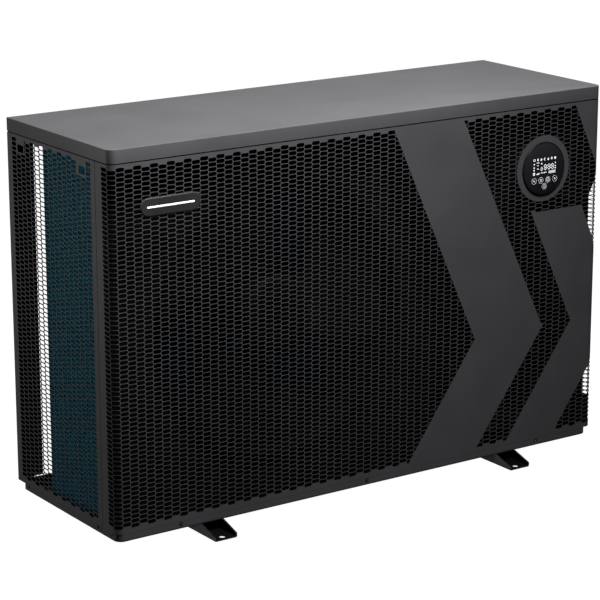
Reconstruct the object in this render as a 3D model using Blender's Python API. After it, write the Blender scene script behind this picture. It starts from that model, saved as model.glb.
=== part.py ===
"""Pool heat pump: a sheet-metal cabinet round an L-shaped coil, an axial fan and a compressor room.

Cabinet coordinates are used throughout: x from the left face, y from the front face, z from the ground,
all in metres. The empty "cabinet" puts them in the world, so that the origin is the bottom centre.
"""
import math

import bmesh
import bpy
from mathutils import Vector

for old in list(bpy.data.objects):
    bpy.data.objects.remove(old)

# Cabinet
WIDTH = 1.106
DEPTH = 0.3685
HEIGHT = 0.730
SHEET = 0.0012
GAP = 0.0003
UNION_REACH = 0.060
LID_FLANGE = 0.025
CORNER_RADIUS = 0.016
FRONT_WRAP = 0.049
REAR_RETURN = 0.0515

# Base pan and floor rails
PAN_Z = 0.022
PAN_RIM = 0.014
PAN_REAR_RIM = 0.020
PAN_LEFT = 0.002
PAN_RIGHT = WIDTH - 0.0165
PAN_REAR = DEPTH - 0.0195
PAN_FRONT_CORNER = 0.015
PAN_REAR_CORNER = 0.006
RAIL_CENTRES = (0.201, 0.8845)
RAIL_WIDTH = 0.048
RAIL_REACH = 0.0435
RAIL_SHEET = 0.002
RAIL_TIP_HEIGHT = 0.0085
BOLT_HOLE_RADIUS = 0.006
BOLT_HOLE_REACH = 0.030

# Levels of the cabinet
PAN_FLOOR = PAN_Z + SHEET
PANEL_BOTTOM = PAN_Z + PAN_RIM + GAP
PANEL_TOP = HEIGHT - LID_FLANGE - GAP
INSIDE_BOTTOM = PAN_FLOOR + GAP
INSIDE_TOP = HEIGHT - SHEET - 0.0008

# Coil
COIL_LEFT = 0.024
COIL_REAR = 0.341
COIL_DEPTH = 0.044
COIL_BEND = 0.084
COIL_FRONT = 0.0595
COIL_RIGHT = 0.765
COIL_BOTTOM = 0.027
COIL_TOP = 0.700
PLATE = 0.0012

# Fan and its ring
FAN_X = 0.385
FAN_Z = 0.3685
FAN_TIP = 0.254
FAN_HUB = 0.072
FAN_HUB_WALL = 0.003
BLADES = 3
RING_RADIUS = 0.262
RING_WALL = 0.0025
BULKHEAD_Y = 0.058
BULKHEAD_LEFT = 0.070
SHAFT_RADIUS = 0.006
SHAFT_BORE = 0.0063
BEARING_RADIUS = 0.013

# Motor, front to back
MOTOR_RADIUS = 0.060
MOTOR_FRONT = 0.146
MOTOR_REAR = 0.222
MOTOR_WALL = 0.003

# Compressor room
PARTITION_X = 0.748
COMPRESSOR = (0.850, 0.120)
COMPRESSOR_RADIUS = 0.062
FOOT_RADIUS = 0.085
ACCUMULATOR = (0.820, 0.236)
VALVE = (0.850, 0.165, 0.430)
EXPANSION = (0.800, 0.319)
EXCHANGER = (0.955, 0.255)
EXCHANGER_RADIUS = 0.070
EXCHANGER_TOP = 0.430
REFRIGERANT_RADIUS = 0.006

# Water circuit
WATER_Y = EXCHANGER[1]
INLET_Z = 0.115
OUTLET_Z = 0.395
PIPE_RADIUS = 0.025
PIPE_BORE = 0.0215
SOCKET_RADIUS = 0.030
SOCKET_BORE = 0.0252
PADDLE_X = 1.062
PADDLE_Z = OUTLET_Z + 0.0315

# Electrical parts
BOX_LOW = (0.775, 0.045, 0.505)
BOX_HIGH = (1.075, 0.245, 0.640)
WINDOW_Y = (0.077, 0.203)
WINDOW_Z = (0.532, 0.618)

# Controller and badge
CONTROLLER_X = 0.9613
CONTROLLER_Z = PAN_Z + 0.5611
FACE_RADIUS = 0.0522
FACE_FRONT = -0.0030
NECK_RADIUS = 0.0495
BADGE_LEFT = 0.0610
BADGE_WIDTH = 0.1205
BADGE_HEIGHT = 0.031
BADGE_Z = PAN_Z + 0.600


def make_material(name, colour, roughness, metallic):
    material = bpy.data.materials.new(name)
    material.use_nodes = True
    shader = material.node_tree.nodes["Principled BSDF"]
    shader.inputs["Base Color"].default_value = (*colour, 1.0)
    shader.inputs["Roughness"].default_value = roughness
    shader.inputs["Metallic"].default_value = metallic
    material.diffuse_color = (*colour, 1.0)
    return material


PAINT = make_material("graphite_paint", (0.045, 0.045, 0.048), 0.55, 0.0)
BLUE_FIN = make_material("blue_fin", (0.03, 0.20, 0.35), 0.4, 0.6)
BLACK_PLASTIC = make_material("black_plastic", (0.02, 0.02, 0.02), 0.5, 0.0)
GLOSS_BLACK = make_material("gloss_black", (0.01, 0.01, 0.01), 0.08, 0.0)
GREY_PLASTIC = make_material("grey_plastic", (0.25, 0.26, 0.27), 0.4, 0.0)
BLACK_ENAMEL = make_material("black_enamel", (0.015, 0.015, 0.017), 0.3, 0.0)
RUBBER = make_material("rubber", (0.02, 0.02, 0.02), 0.8, 0.0)
COPPER = make_material("copper", (0.72, 0.36, 0.22), 0.3, 1.0)
BRASS = make_material("brass", (0.70, 0.53, 0.25), 0.3, 1.0)
STEEL = make_material("steel", (0.60, 0.60, 0.60), 0.3, 1.0)
TITANIUM = make_material("titanium", (0.50, 0.48, 0.46), 0.35, 1.0)
ALUMINIUM = make_material("aluminium", (0.75, 0.75, 0.76), 0.4, 1.0)
WINDING = make_material("motor_steel", (0.30, 0.25, 0.22), 0.5, 1.0)
BOARD = make_material("circuit_board", (0.03, 0.16, 0.07), 0.4, 0.0)


def make_empty(name, place, parent=None):
    empty = bpy.data.objects.new(name, None)
    bpy.context.scene.collection.objects.link(empty)
    empty.location = place
    empty.parent = parent
    return empty


CABINET = make_empty("cabinet", (-(WIDTH + UNION_REACH) / 2, -DEPTH / 2, 0.0))
FAN_AXIS = make_empty("fan_axis", (FAN_X, 0.0, FAN_Z), CABINET)
PADDLE_PIVOT = make_empty("paddle_pivot", (PADDLE_X, WATER_Y, PADDLE_Z), CABINET)


def finish(name, bm, material, place=(0.0, 0.0, 0.0), parent=CABINET, smooth=None):
    """Turn a bmesh into a named object at a place in its parent's frame."""
    bmesh.ops.recalc_face_normals(bm, faces=bm.faces)
    mesh = bpy.data.meshes.new(name)
    bm.to_mesh(mesh)
    bm.free()
    mesh.materials.append(material)
    if smooth is not None:
        mesh.shade_smooth()
        mesh.set_sharp_from_angle(angle=math.radians(smooth))
    part = bpy.data.objects.new(name, mesh)
    bpy.context.scene.collection.objects.link(part)
    part.location = place
    part.parent = parent
    return part


def in_space(axis, u, v, w):
    """A point given across an axis (u, v) and along it (w)."""
    if axis == "X":
        return Vector((w, u, v))
    if axis == "Y":
        return Vector((u, w, v))
    return Vector((u, v, w))


def join_loops(bm, first, second):
    """Side faces between two closed rows of vertices."""
    count = len(first)
    for i in range(count):
        j = (i + 1) % count
        bm.faces.new((first[i], first[j], second[j], second[i]))


def prism(outline, low, high, axis="Z"):
    """A closed outline across an axis, extruded along it."""
    bm = bmesh.new()
    bottom = [bm.verts.new(in_space(axis, u, v, low)) for u, v in outline]
    top = [bm.verts.new(in_space(axis, u, v, high)) for u, v in outline]
    bm.faces.new(bottom)
    bm.faces.new(top)
    join_loops(bm, bottom, top)
    return bm


def rectangle(low, high):
    return [(low[0], low[1]), (high[0], low[1]), (high[0], high[1]), (low[0], high[1])]


def block(low, high):
    return prism(rectangle(low[:2], high[:2]), low[2], high[2])


def turned(profile, segments, axis="Z"):
    """Turn a profile of (radius, along) about an axis. A profile that starts and ends at radius 0
    is a solid; any other profile is a closed loop and makes a ring."""
    bm = bmesh.new()
    solid = profile[0][0] == 0.0
    rows = []
    for radius, along in profile:
        if radius == 0.0:
            rows.append([bm.verts.new(in_space(axis, 0.0, 0.0, along))])
            continue
        row = []
        for i in range(segments):
            angle = 2 * math.pi * i / segments
            row.append(bm.verts.new(in_space(axis, radius * math.cos(angle), radius * math.sin(angle), along)))
        rows.append(row)
    if not solid:
        rows.append(rows[0])
    for first, second in zip(rows, rows[1:]):
        if len(first) == 1:
            for i in range(segments):
                bm.faces.new((first[0], second[i], second[(i + 1) % segments]))
        elif len(second) == 1:
            for i in range(segments):
                bm.faces.new((second[0], first[i], first[(i + 1) % segments]))
        else:
            join_loops(bm, first, second)
    return bm


def tube(outer, inner, low, high):
    """The profile of a plain ring."""
    return [(inner, low), (outer, low), (outer, high), (inner, high)]


def rod(radius, low, high):
    """The profile of a plain cylinder."""
    return [(0.0, low), (radius, low), (radius, high), (0.0, high)]


def arc(centre, radius, start, end, steps):
    points = []
    for i in range(steps + 1):
        angle = math.radians(start + (end - start) * i / steps)
        points.append((centre[0] + radius * math.cos(angle), centre[1] + radius * math.sin(angle)))
    return points


def cut(part, name, bm, place=(0.0, 0.0, 0.0)):
    """Cut a hole in a part with a hidden tool body."""
    tool = finish(name, bm, PAINT, place)
    tool.hide_render = True
    tool.display_type = "WIRE"
    modifier = part.modifiers.new(name, "BOOLEAN")
    modifier.operation = "DIFFERENCE"
    modifier.solver = "EXACT"
    modifier.object = tool


def rounded_path(corners, radius, steps=3):
    """A route through corner points, with each inner corner rounded."""
    points = [Vector(corners[0])]
    for before, corner, after in zip(corners, corners[1:], corners[2:]):
        corner = Vector(corner)
        back = (Vector(before) - corner).normalized()
        ahead = (Vector(after) - corner).normalized()
        centre = corner + (back + ahead) * radius
        for i in range(steps + 1):
            turn = math.radians(90.0 * i / steps)
            points.append(centre - ahead * radius * math.cos(turn) - back * radius * math.sin(turn))
    points.append(Vector(corners[-1]))
    return points


def pipe(name, points, radius, material, sides=2):
    """A solid bar along a route, made as a bevelled curve with filled caps."""
    curve = bpy.data.curves.new(name, "CURVE")
    curve.dimensions = "3D"
    curve.bevel_depth = radius
    curve.bevel_resolution = sides
    curve.use_fill_caps = True
    curve.render_resolution_u = 0
    spline = curve.splines.new("POLY")
    spline.points.add(len(points) - 1)
    for point, place in zip(spline.points, points):
        point.co = (*place, 1.0)
    curve.materials.append(material)
    part = bpy.data.objects.new(name, curve)
    bpy.context.scene.collection.objects.link(part)
    part.parent = CABINET
    return part


def tray(outline, inner_outline, closed_z, floor_z, rim_heights):
    """A one-piece tray: flat floor with a rim whose height may change from point to point."""
    bm = bmesh.new()
    outer_floor = [bm.verts.new((x, y, closed_z)) for x, y in outline]
    outer_rim = [bm.verts.new((x, y, z)) for (x, y), z in zip(outline, rim_heights)]
    inner_rim = [bm.verts.new((x, y, z)) for (x, y), z in zip(inner_outline, rim_heights)]
    inner_floor = [bm.verts.new((x, y, floor_z)) for x, y in inner_outline]
    bm.faces.new(outer_floor)
    join_loops(bm, outer_floor, outer_rim)
    join_loops(bm, outer_rim, inner_rim)
    join_loops(bm, inner_rim, inner_floor)
    bm.faces.new(inner_floor)
    return bm


# ---------------------------------------------------------------- cabinet


def pan_outline(inset):
    """The pan's plan, with two extra points on each side where the rear rim steps up."""
    left = PAN_LEFT + inset
    right = PAN_RIGHT - inset
    front = inset
    rear = PAN_REAR - inset
    wide = PAN_FRONT_CORNER - inset
    radius = PAN_REAR_CORNER - inset
    step_y = PAN_REAR - 0.012
    points = arc((left + wide, front + wide), wide, 180, 270, 5)
    points += arc((right - wide, front + wide), wide, 270, 360, 5)
    points += [(right, step_y - 0.006), (right, step_y)]
    points += arc((right - radius, rear - radius), radius, 0, 90, 3)
    points += arc((left + radius, rear - radius), radius, 90, 180, 3)
    points += [(left, step_y), (left, step_y - 0.006)]
    return points


def make_base():
    outline = pan_outline(0.0)
    low_rim = PAN_Z + PAN_RIM
    high_rim = PAN_Z + PAN_REAR_RIM
    heights = [high_rim if y > PAN_REAR - 0.013 else low_rim for x, y in outline]
    body = tray(outline, pan_outline(SHEET), PAN_Z, PAN_FLOOR, heights)
    pan = finish("base_pan", body, PAINT)
    drain = (0.330, 0.200)
    cut(pan, "drain_hole", turned(rod(0.0072, PAN_Z - 0.01, PAN_Z + 0.01), 12), (*drain, 0.0))
    nozzle = [(0.0055, 0.003), (0.0068, 0.003), (0.0068, PAN_Z - 0.004), (0.0110, PAN_Z - 0.004),
              (0.0110, PAN_Z - GAP), (0.0055, PAN_Z - GAP)]
    finish("drain_nozzle", turned(nozzle, 16), BLACK_PLASTIC, (*drain, 0.0), smooth=40)


def make_rail(name, centre_x):
    """A channel open at the top whose side walls taper towards both tips."""
    half = RAIL_WIDTH / 2
    tips = (-RAIL_REACH, DEPTH + RAIL_REACH)
    full = PAN_Z - GAP
    stations = [(tips[0], RAIL_TIP_HEIGHT), (0.0, full), (DEPTH, full), (tips[1], RAIL_TIP_HEIGHT)]
    bm = bmesh.new()
    rows = []
    for y, top in stations:
        section = [(-half, 0.0), (half, 0.0), (half, top), (half - RAIL_SHEET, top),
                   (half - RAIL_SHEET, RAIL_SHEET), (RAIL_SHEET - half, RAIL_SHEET),
                   (RAIL_SHEET - half, top), (-half, top)]
        rows.append([bm.verts.new((x, y, z)) for x, z in section])
    for first, second in zip(rows, rows[1:]):
        join_loops(bm, first, second)
    bm.faces.new(rows[0])
    bm.faces.new(rows[-1])
    rail = finish(name, bm, PAINT, (centre_x, 0.0, 0.0))
    for end, y in (("front", -BOLT_HOLE_REACH), ("rear", DEPTH + BOLT_HOLE_REACH)):
        hole = turned(rod(BOLT_HOLE_RADIUS, -0.01, 0.006), 16)
        cut(rail, f"{name}_{end}_hole", hole, (centre_x, y, 0.0))


def lid_outline(inset):
    """Rounded at the two front corners and nearly sharp at the rear."""
    left = inset
    right = WIDTH - inset
    front = inset
    rear = DEPTH - inset
    round_front = CORNER_RADIUS - inset
    round_rear = 0.0015 - inset
    points = arc((left + round_front, front + round_front), round_front, 180, 270, 6)
    points += arc((right - round_front, front + round_front), round_front, 270, 360, 6)
    points += arc((right - round_rear, rear - round_rear), round_rear, 0, 90, 2)
    points += arc((left + round_rear, rear - round_rear), round_rear, 90, 180, 2)
    return points


def make_lid():
    outline = lid_outline(0.0)
    rim = [HEIGHT - LID_FLANGE] * len(outline)
    finish("lid", tray(outline, lid_outline(SHEET), HEIGHT, HEIGHT - SHEET, rim), PAINT)


def wrap_path(inset):
    """The front panel's plan line: left side, corner, front, corner, right side."""
    radius = CORNER_RADIUS - inset
    left = inset
    right = WIDTH - inset
    points = [(left, FRONT_WRAP)]
    points += arc((left + radius, inset + radius), radius, 180, 270, 6)
    points += arc((right - radius, inset + radius), radius, 270, 360, 6)
    points.append((right, FRONT_WRAP))
    return points


def make_panels():
    outline = wrap_path(0.0) + wrap_path(SHEET)[::-1]
    front = finish("front_panel", prism(outline, PANEL_BOTTOM, PANEL_TOP), PAINT)
    hole = turned(rod(NECK_RADIUS + 0.0010, -0.01, 0.01), 32, "Y")
    cut(front, "controller_hole", hole, (CONTROLLER_X, 0.0, CONTROLLER_Z))

    seam = FRONT_WRAP + GAP
    plan = [(0.0, seam), (0.0, DEPTH), (REAR_RETURN, DEPTH), (REAR_RETURN, DEPTH - SHEET),
            (SHEET, DEPTH - SHEET), (SHEET, seam)]
    left = finish("left_panel", prism(plan, PANEL_BOTTOM, PANEL_TOP), PAINT)
    for end, y in (("front", 0.098), ("rear", 0.3185)):
        window = block((-0.01, y - 0.0110, PAN_Z + 0.6530), (0.01, y + 0.0110, PAN_Z + 0.6680))
        cut(left, f"hook_window_{end}", window)

    inner = WIDTH - SHEET
    foot = PANEL_BOTTOM + SHEET
    flange = PAN_RIGHT + GAP
    section = [(WIDTH, PANEL_BOTTOM), (WIDTH, PANEL_TOP), (inner, PANEL_TOP), (inner, foot), (flange, foot),
               (flange, PANEL_BOTTOM)]
    right = finish("right_panel", prism(section, seam, DEPTH - SHEET - GAP, "Y"), PAINT)
    for water, z in (("inlet", INLET_Z), ("outlet", OUTLET_Z)):
        hole = turned(rod(PIPE_RADIUS + 0.0025, -0.01, 0.01), 24, "X")
        cut(right, f"{water}_hole", hole, (WIDTH, WATER_Y, z))
    opening = block((WIDTH - 0.01, 0.100, 0.550), (WIDTH + 0.01, 0.210, 0.630))
    cut(right, "wiring_opening", opening)

    edge = PARTITION_X + 0.004
    end = WIDTH
    plan = [(edge, PAN_REAR + GAP), (edge, DEPTH), (end, DEPTH), (end, DEPTH - SHEET),
            (edge + SHEET, DEPTH - SHEET), (edge + SHEET, PAN_REAR + GAP)]
    finish("rear_panel", prism(plan, PANEL_BOTTOM, PANEL_TOP), PAINT)


def make_partition():
    low = (PARTITION_X, 0.0030, INSIDE_BOTTOM)
    high = (PARTITION_X + SHEET, COIL_REAR - COIL_DEPTH - GAP, INSIDE_TOP)
    wall = finish("partition", block(low, high), BLACK_ENAMEL)
    window = block((PARTITION_X - 0.01, WINDOW_Y[0], WINDOW_Z[0]), (PARTITION_X + 0.01, WINDOW_Y[1], WINDOW_Z[1]))
    cut(wall, "heat_sink_window", window)


def make_badge():
    """A blank plate with round ends."""
    half = BADGE_HEIGHT / 2
    outline = arc((BADGE_LEFT + half, BADGE_Z), half, 90, 270, 10)
    outline += arc((BADGE_LEFT + BADGE_WIDTH - half, BADGE_Z), half, -90, 90, 10)
    finish("badge", prism(outline, -0.0018, -GAP, "Y"), ALUMINIUM)


def make_controller():
    place = (CONTROLLER_X, 0.0, CONTROLLER_Z)
    face = [(0.0, FACE_FRONT), (FACE_RADIUS - 0.0010, FACE_FRONT), (FACE_RADIUS, FACE_FRONT + 0.0008),
            (FACE_RADIUS, -GAP), (0.0, -GAP)]
    finish("controller_face", turned(face, 48, "Y"), GLOSS_BLACK, place, smooth=30)
    inner = NECK_RADIUS - 0.0020
    cup = [(0.0, 0.0230), (NECK_RADIUS, 0.0230), (NECK_RADIUS, 0.0002), (inner, 0.0002), (inner, 0.0205),
           (0.0, 0.0205)]
    finish("controller_housing", turned(cup, 32, "Y"), BLACK_PLASTIC, place, smooth=30)


# ---------------------------------------------------------------- coil


def coil_outline():
    centre = (COIL_LEFT + COIL_BEND, COIL_REAR - COIL_BEND)
    outline = [(COIL_LEFT, COIL_FRONT)]
    outline += arc(centre, COIL_BEND, 180, 90, 9)
    outline += [(COIL_RIGHT, COIL_REAR), (COIL_RIGHT, COIL_REAR - COIL_DEPTH)]
    outline += arc(centre, COIL_BEND - COIL_DEPTH, 90, 180, 9)
    outline.append((COIL_LEFT + COIL_DEPTH, COIL_FRONT))
    return outline


def make_coil():
    finish("evaporator_fins", prism(coil_outline(), COIL_BOTTOM, COIL_TOP), BLUE_FIN)
    right = COIL_RIGHT + GAP
    low = (right, COIL_REAR - COIL_DEPTH - 0.001, COIL_BOTTOM)
    finish("evaporator_tube_plate", block(low, (right + PLATE, COIL_REAR + 0.001, COIL_TOP)), BLACK_ENAMEL)


# ---------------------------------------------------------------- fan and motor


def make_blade(turn):
    """One swept blade, its root buried in the hub wall."""
    radial = 4
    chordwise = 5
    root = FAN_HUB - FAN_HUB_WALL / 2
    thickness = 0.003
    bm = bmesh.new()
    sides = []
    for side in (-1, 1):
        grid = []
        for i in range(radial + 1):
            s = i / radial
            radius = root + (FAN_TIP - root) * s
            span = math.radians(60 + 24 * s)
            sweep = math.radians(26) * s ** 1.4
            row = []
            for j in range(chordwise + 1):
                t = j / chordwise
                angle = turn + sweep + span * (t - 0.5)
                pitch = (t - 0.5) * (0.040 - 0.006 * s)
                camber = 0.006 * math.sin(math.pi * t)
                y = 0.091 + pitch + camber + side * thickness / 2
                row.append(bm.verts.new((radius * math.cos(angle), y, radius * math.sin(angle))))
            grid.append(row)
        sides.append(grid)
    for grid in sides:
        for upper, lower in zip(grid, grid[1:]):
            for j in range(chordwise):
                bm.faces.new((upper[j], upper[j + 1], lower[j + 1], lower[j]))
    edges = []
    for grid in sides:
        edge = grid[0][:]
        edge += [row[-1] for row in grid[1:-1]]
        edge += grid[-1][::-1]
        edge += [row[0] for row in grid[-2:0:-1]]
        edges.append(edge)
    join_loops(bm, edges[0], edges[1])
    return bm


def make_fan():
    wall = FAN_HUB_WALL
    hub_profile = [(SHAFT_BORE, 0.0620), (FAN_HUB - 0.008, 0.0620), (FAN_HUB, 0.0700), (FAN_HUB, 0.1180),
                   (FAN_HUB - wall, 0.1180), (FAN_HUB - wall, 0.0720), (0.0150, 0.0670), (0.0150, 0.1100),
                   (SHAFT_BORE, 0.1100)]
    fan = finish("fan", turned(hub_profile, 24, "Y"), BLACK_PLASTIC, parent=FAN_AXIS, smooth=30)
    for number in range(BLADES):
        name = f"blade_{number + 1}"
        blade = finish(name, make_blade(2 * math.pi * number / BLADES), BLACK_PLASTIC, parent=FAN_AXIS)
        blade.hide_render = True
        blade.display_type = "WIRE"
        joint = fan.modifiers.new(name, "BOOLEAN")
        joint.operation = "UNION"
        joint.solver = "EXACT"
        joint.object = blade

    nut = prism(arc((0.0, 0.0), 0.009, 0, 300, 5), 0.0530, 0.0617, "Y")
    finish("fan_nut", nut, BRASS, parent=FAN_AXIS)
    finish("motor_shaft", turned(rod(SHAFT_RADIUS, 0.0620, 0.2180), 12, "Y"), STEEL, parent=FAN_AXIS, smooth=30)
    rotor = tube(0.0340, SHAFT_BORE, 0.160, 0.205)
    finish("motor_rotor", turned(rotor, 24, "Y"), WINDING, parent=FAN_AXIS, smooth=30)


def make_motor():
    bore = MOTOR_RADIUS - MOTOR_WALL
    seat = MOTOR_REAR - MOTOR_WALL
    cup = [(0.0, MOTOR_REAR), (MOTOR_RADIUS, MOTOR_REAR), (MOTOR_RADIUS, MOTOR_FRONT + 0.004),
           (bore, MOTOR_FRONT + 0.004), (bore, seat), (0.0, seat)]
    finish("motor_housing", turned(cup, 24, "Y"), BLACK_ENAMEL, parent=FAN_AXIS, smooth=30)
    cap = tube(MOTOR_RADIUS, BEARING_RADIUS + 0.0004, MOTOR_FRONT, MOTOR_FRONT + 0.004 - GAP)
    finish("motor_end_cap", turned(cap, 24, "Y"), ALUMINIUM, parent=FAN_AXIS, smooth=30)
    stator = tube(bore - 0.0008, 0.0348, 0.160, 0.205)
    finish("motor_stator", turned(stator, 24, "Y"), WINDING, parent=FAN_AXIS, smooth=30)
    for end, y in (("front", MOTOR_FRONT + 0.0005), ("rear", 0.2090)):
        bearing = tube(BEARING_RADIUS, SHAFT_BORE, y, y + 0.0095)
        finish(f"motor_{end}_bearing", turned(bearing, 16, "Y"), STEEL, parent=FAN_AXIS, smooth=30)

    ring = [(RING_RADIUS, 0.046), (RING_RADIUS + RING_WALL, 0.046), (RING_RADIUS + RING_WALL, 0.117),
            (RING_RADIUS + 0.013, 0.130), (RING_RADIUS + 0.011, 0.132), (RING_RADIUS, 0.119)]
    finish("fan_ring", turned(ring, 40, "Y"), BLACK_PLASTIC, parent=FAN_AXIS, smooth=30)

    low = (BULKHEAD_LEFT, BULKHEAD_Y, INSIDE_BOTTOM)
    high = (PARTITION_X - GAP, BULKHEAD_Y + SHEET, INSIDE_TOP)
    bulkhead = finish("fan_bulkhead", block(low, high), BLACK_ENAMEL)
    hole = turned(rod(RING_RADIUS + RING_WALL + 0.0020, 0.04, 0.08), 40, "Y")
    cut(bulkhead, "ring_hole", hole, (FAN_X, 0.0, FAN_Z))

    outer = 0.062
    inner = 0.038
    half_plate = 0.065
    right_side = [(outer, INSIDE_BOTTOM - FAN_Z), (outer, INSIDE_TOP - FAN_Z), (inner, INSIDE_TOP - FAN_Z),
                  (inner, half_plate), (-inner, half_plate), (-inner, INSIDE_TOP - FAN_Z),
                  (-outer, INSIDE_TOP - FAN_Z), (-outer, INSIDE_BOTTOM - FAN_Z),
                  (-inner, INSIDE_BOTTOM - FAN_Z), (-inner, -half_plate), (inner, -half_plate),
                  (inner, INSIDE_BOTTOM - FAN_Z)]
    bracket = prism(right_side, MOTOR_REAR + GAP, MOTOR_REAR + 0.010, "Y")
    finish("motor_bracket", bracket, BLACK_ENAMEL, parent=FAN_AXIS)


# ---------------------------------------------------------------- compressor room


def make_compressor():
    radius = COMPRESSOR_RADIUS
    shell = [(0.0, 0.0490), (0.045, 0.0490), (0.058, 0.056), (radius, 0.070), (radius, 0.325),
             (0.056, 0.340), (0.035, 0.350), (0.0, 0.352)]
    finish("compressor", turned(shell, 20), BLACK_ENAMEL, (*COMPRESSOR, 0.0), smooth=40)
    plate = []
    for angle in (330, 90, 210):
        turn = math.radians(angle)
        centre = (FOOT_RADIUS * math.cos(turn), FOOT_RADIUS * math.sin(turn))
        plate += arc(centre, 0.018, angle - 60, angle + 60, 4)
    finish("compressor_base", prism(plate, 0.0455, 0.0487), BLACK_ENAMEL, (*COMPRESSOR, 0.0))
    foot = [(0.0, INSIDE_BOTTOM), (0.014, INSIDE_BOTTOM), (0.010, 0.034), (0.013, 0.0452), (0.0, 0.0452)]
    for number, angle in enumerate((90, 210, 330), start=1):
        turn = math.radians(angle)
        x = COMPRESSOR[0] + FOOT_RADIUS * math.cos(turn)
        y = COMPRESSOR[1] + FOOT_RADIUS * math.sin(turn)
        finish(f"compressor_foot_{number}", turned(foot, 12), RUBBER, (x, y, 0.0), smooth=40)
    tank = [(0.0, 0.110), (0.022, 0.113), (0.034, 0.125), (0.034, 0.295), (0.022, 0.307), (0.0, 0.310)]
    finish("accumulator", turned(tank, 16), BLACK_ENAMEL, (*ACCUMULATOR, 0.0), smooth=40)
    body = [(0.0, -0.055), (0.010, -0.054), (0.013, -0.050), (0.013, 0.050), (0.010, 0.054), (0.0, 0.055)]
    finish("reversing_valve", turned(body, 16, "X"), BRASS, VALVE, smooth=40)
    body = [(0.0, 0.130), (0.008, 0.130), (0.008, 0.150), (0.014, 0.152), (0.014, 0.188), (0.0, 0.190)]
    finish("expansion_valve", turned(body, 12), BRASS, (*EXPANSION, 0.0), smooth=40)


def make_refrigerant_pipes():
    x, y, z = VALVE
    left = x - 0.030
    right = x + 0.030
    above = z + 0.0135
    below = z - 0.0135
    tube_y = EXPANSION[1]
    plate_x = COIL_RIGHT + PLATE + 0.0008
    shell_front = EXCHANGER[1] - EXCHANGER_RADIUS - 0.0008
    shell_left = EXCHANGER[0] - EXCHANGER_RADIUS - 0.0008
    feed_z = 0.220
    liquid_z = 0.080
    routes = {
        "discharge_pipe": [(x, COMPRESSOR[1], 0.3527), (x, COMPRESSOR[1], 0.470), (x, y, 0.470), (x, y, above)],
        "suction_pipe": [(x, y, below), (x, y, 0.385), (x, ACCUMULATOR[1], 0.385),
                         (*ACCUMULATOR, 0.385), (*ACCUMULATOR, 0.3105)],
        "coil_gas_pipe": [(left, y, below), (left, y, 0.400), (left - 0.030, y, 0.400),
                          (left - 0.030, tube_y, 0.400), (plate_x, tube_y, 0.400)],
        "exchanger_gas_pipe": [(right, y, below), (right, y, 0.394), (EXCHANGER[0], y, 0.394),
                               (EXCHANGER[0], shell_front, 0.394)],
        "exchanger_liquid_pipe": [(shell_left, EXCHANGER[1], liquid_z), (EXPANSION[0], EXCHANGER[1], liquid_z),
                                  (*EXPANSION, liquid_z), (*EXPANSION, 0.1295)],
        "coil_liquid_pipe": [(*EXPANSION, 0.1905), (*EXPANSION, feed_z), (plate_x, tube_y, feed_z)],
        "accumulator_pipe": [(*ACCUMULATOR, 0.1095), (*ACCUMULATOR, 0.092), (ACCUMULATOR[0], 0.1795, 0.092)],
    }
    for name, corners in routes.items():
        pipe(name, rounded_path(corners, 0.011), REFRIGERANT_RADIUS, COPPER)


def make_exchanger():
    wall = 0.005
    radius = EXCHANGER_RADIUS
    shell = [(0.0, INSIDE_BOTTOM), (radius, INSIDE_BOTTOM), (radius, EXCHANGER_TOP), (radius - wall, EXCHANGER_TOP),
             (radius - wall, INSIDE_BOTTOM + 0.006), (0.0, INSIDE_BOTTOM + 0.006)]
    body = finish("exchanger_shell", turned(shell, 28), GREY_PLASTIC, (*EXCHANGER, 0.0), smooth=40)
    for water, z in (("inlet", INLET_Z), ("outlet", OUTLET_Z)):
        port = turned(rod(PIPE_BORE, 0.045, 0.085), 16, "X")
        cut(body, f"{water}_port", port, (*EXCHANGER, z))
    cap = [(0.0, EXCHANGER_TOP + GAP), (radius + 0.003, EXCHANGER_TOP + GAP), (radius + 0.003, 0.444),
           (radius - 0.010, 0.452), (0.0, 0.452)]
    finish("exchanger_cap", turned(cap, 28), GREY_PLASTIC, (*EXCHANGER, 0.0), smooth=40)

    turns = 6
    steps = 12
    points = []
    for i in range(turns * steps + 1):
        angle = 2 * math.pi * i / steps
        height = 0.070 + 0.300 * i / (turns * steps)
        points.append((EXCHANGER[0] + 0.046 * math.cos(angle), EXCHANGER[1] + 0.046 * math.sin(angle), height))
    pipe("titanium_coil", points, 0.007, TITANIUM, 1)


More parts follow.
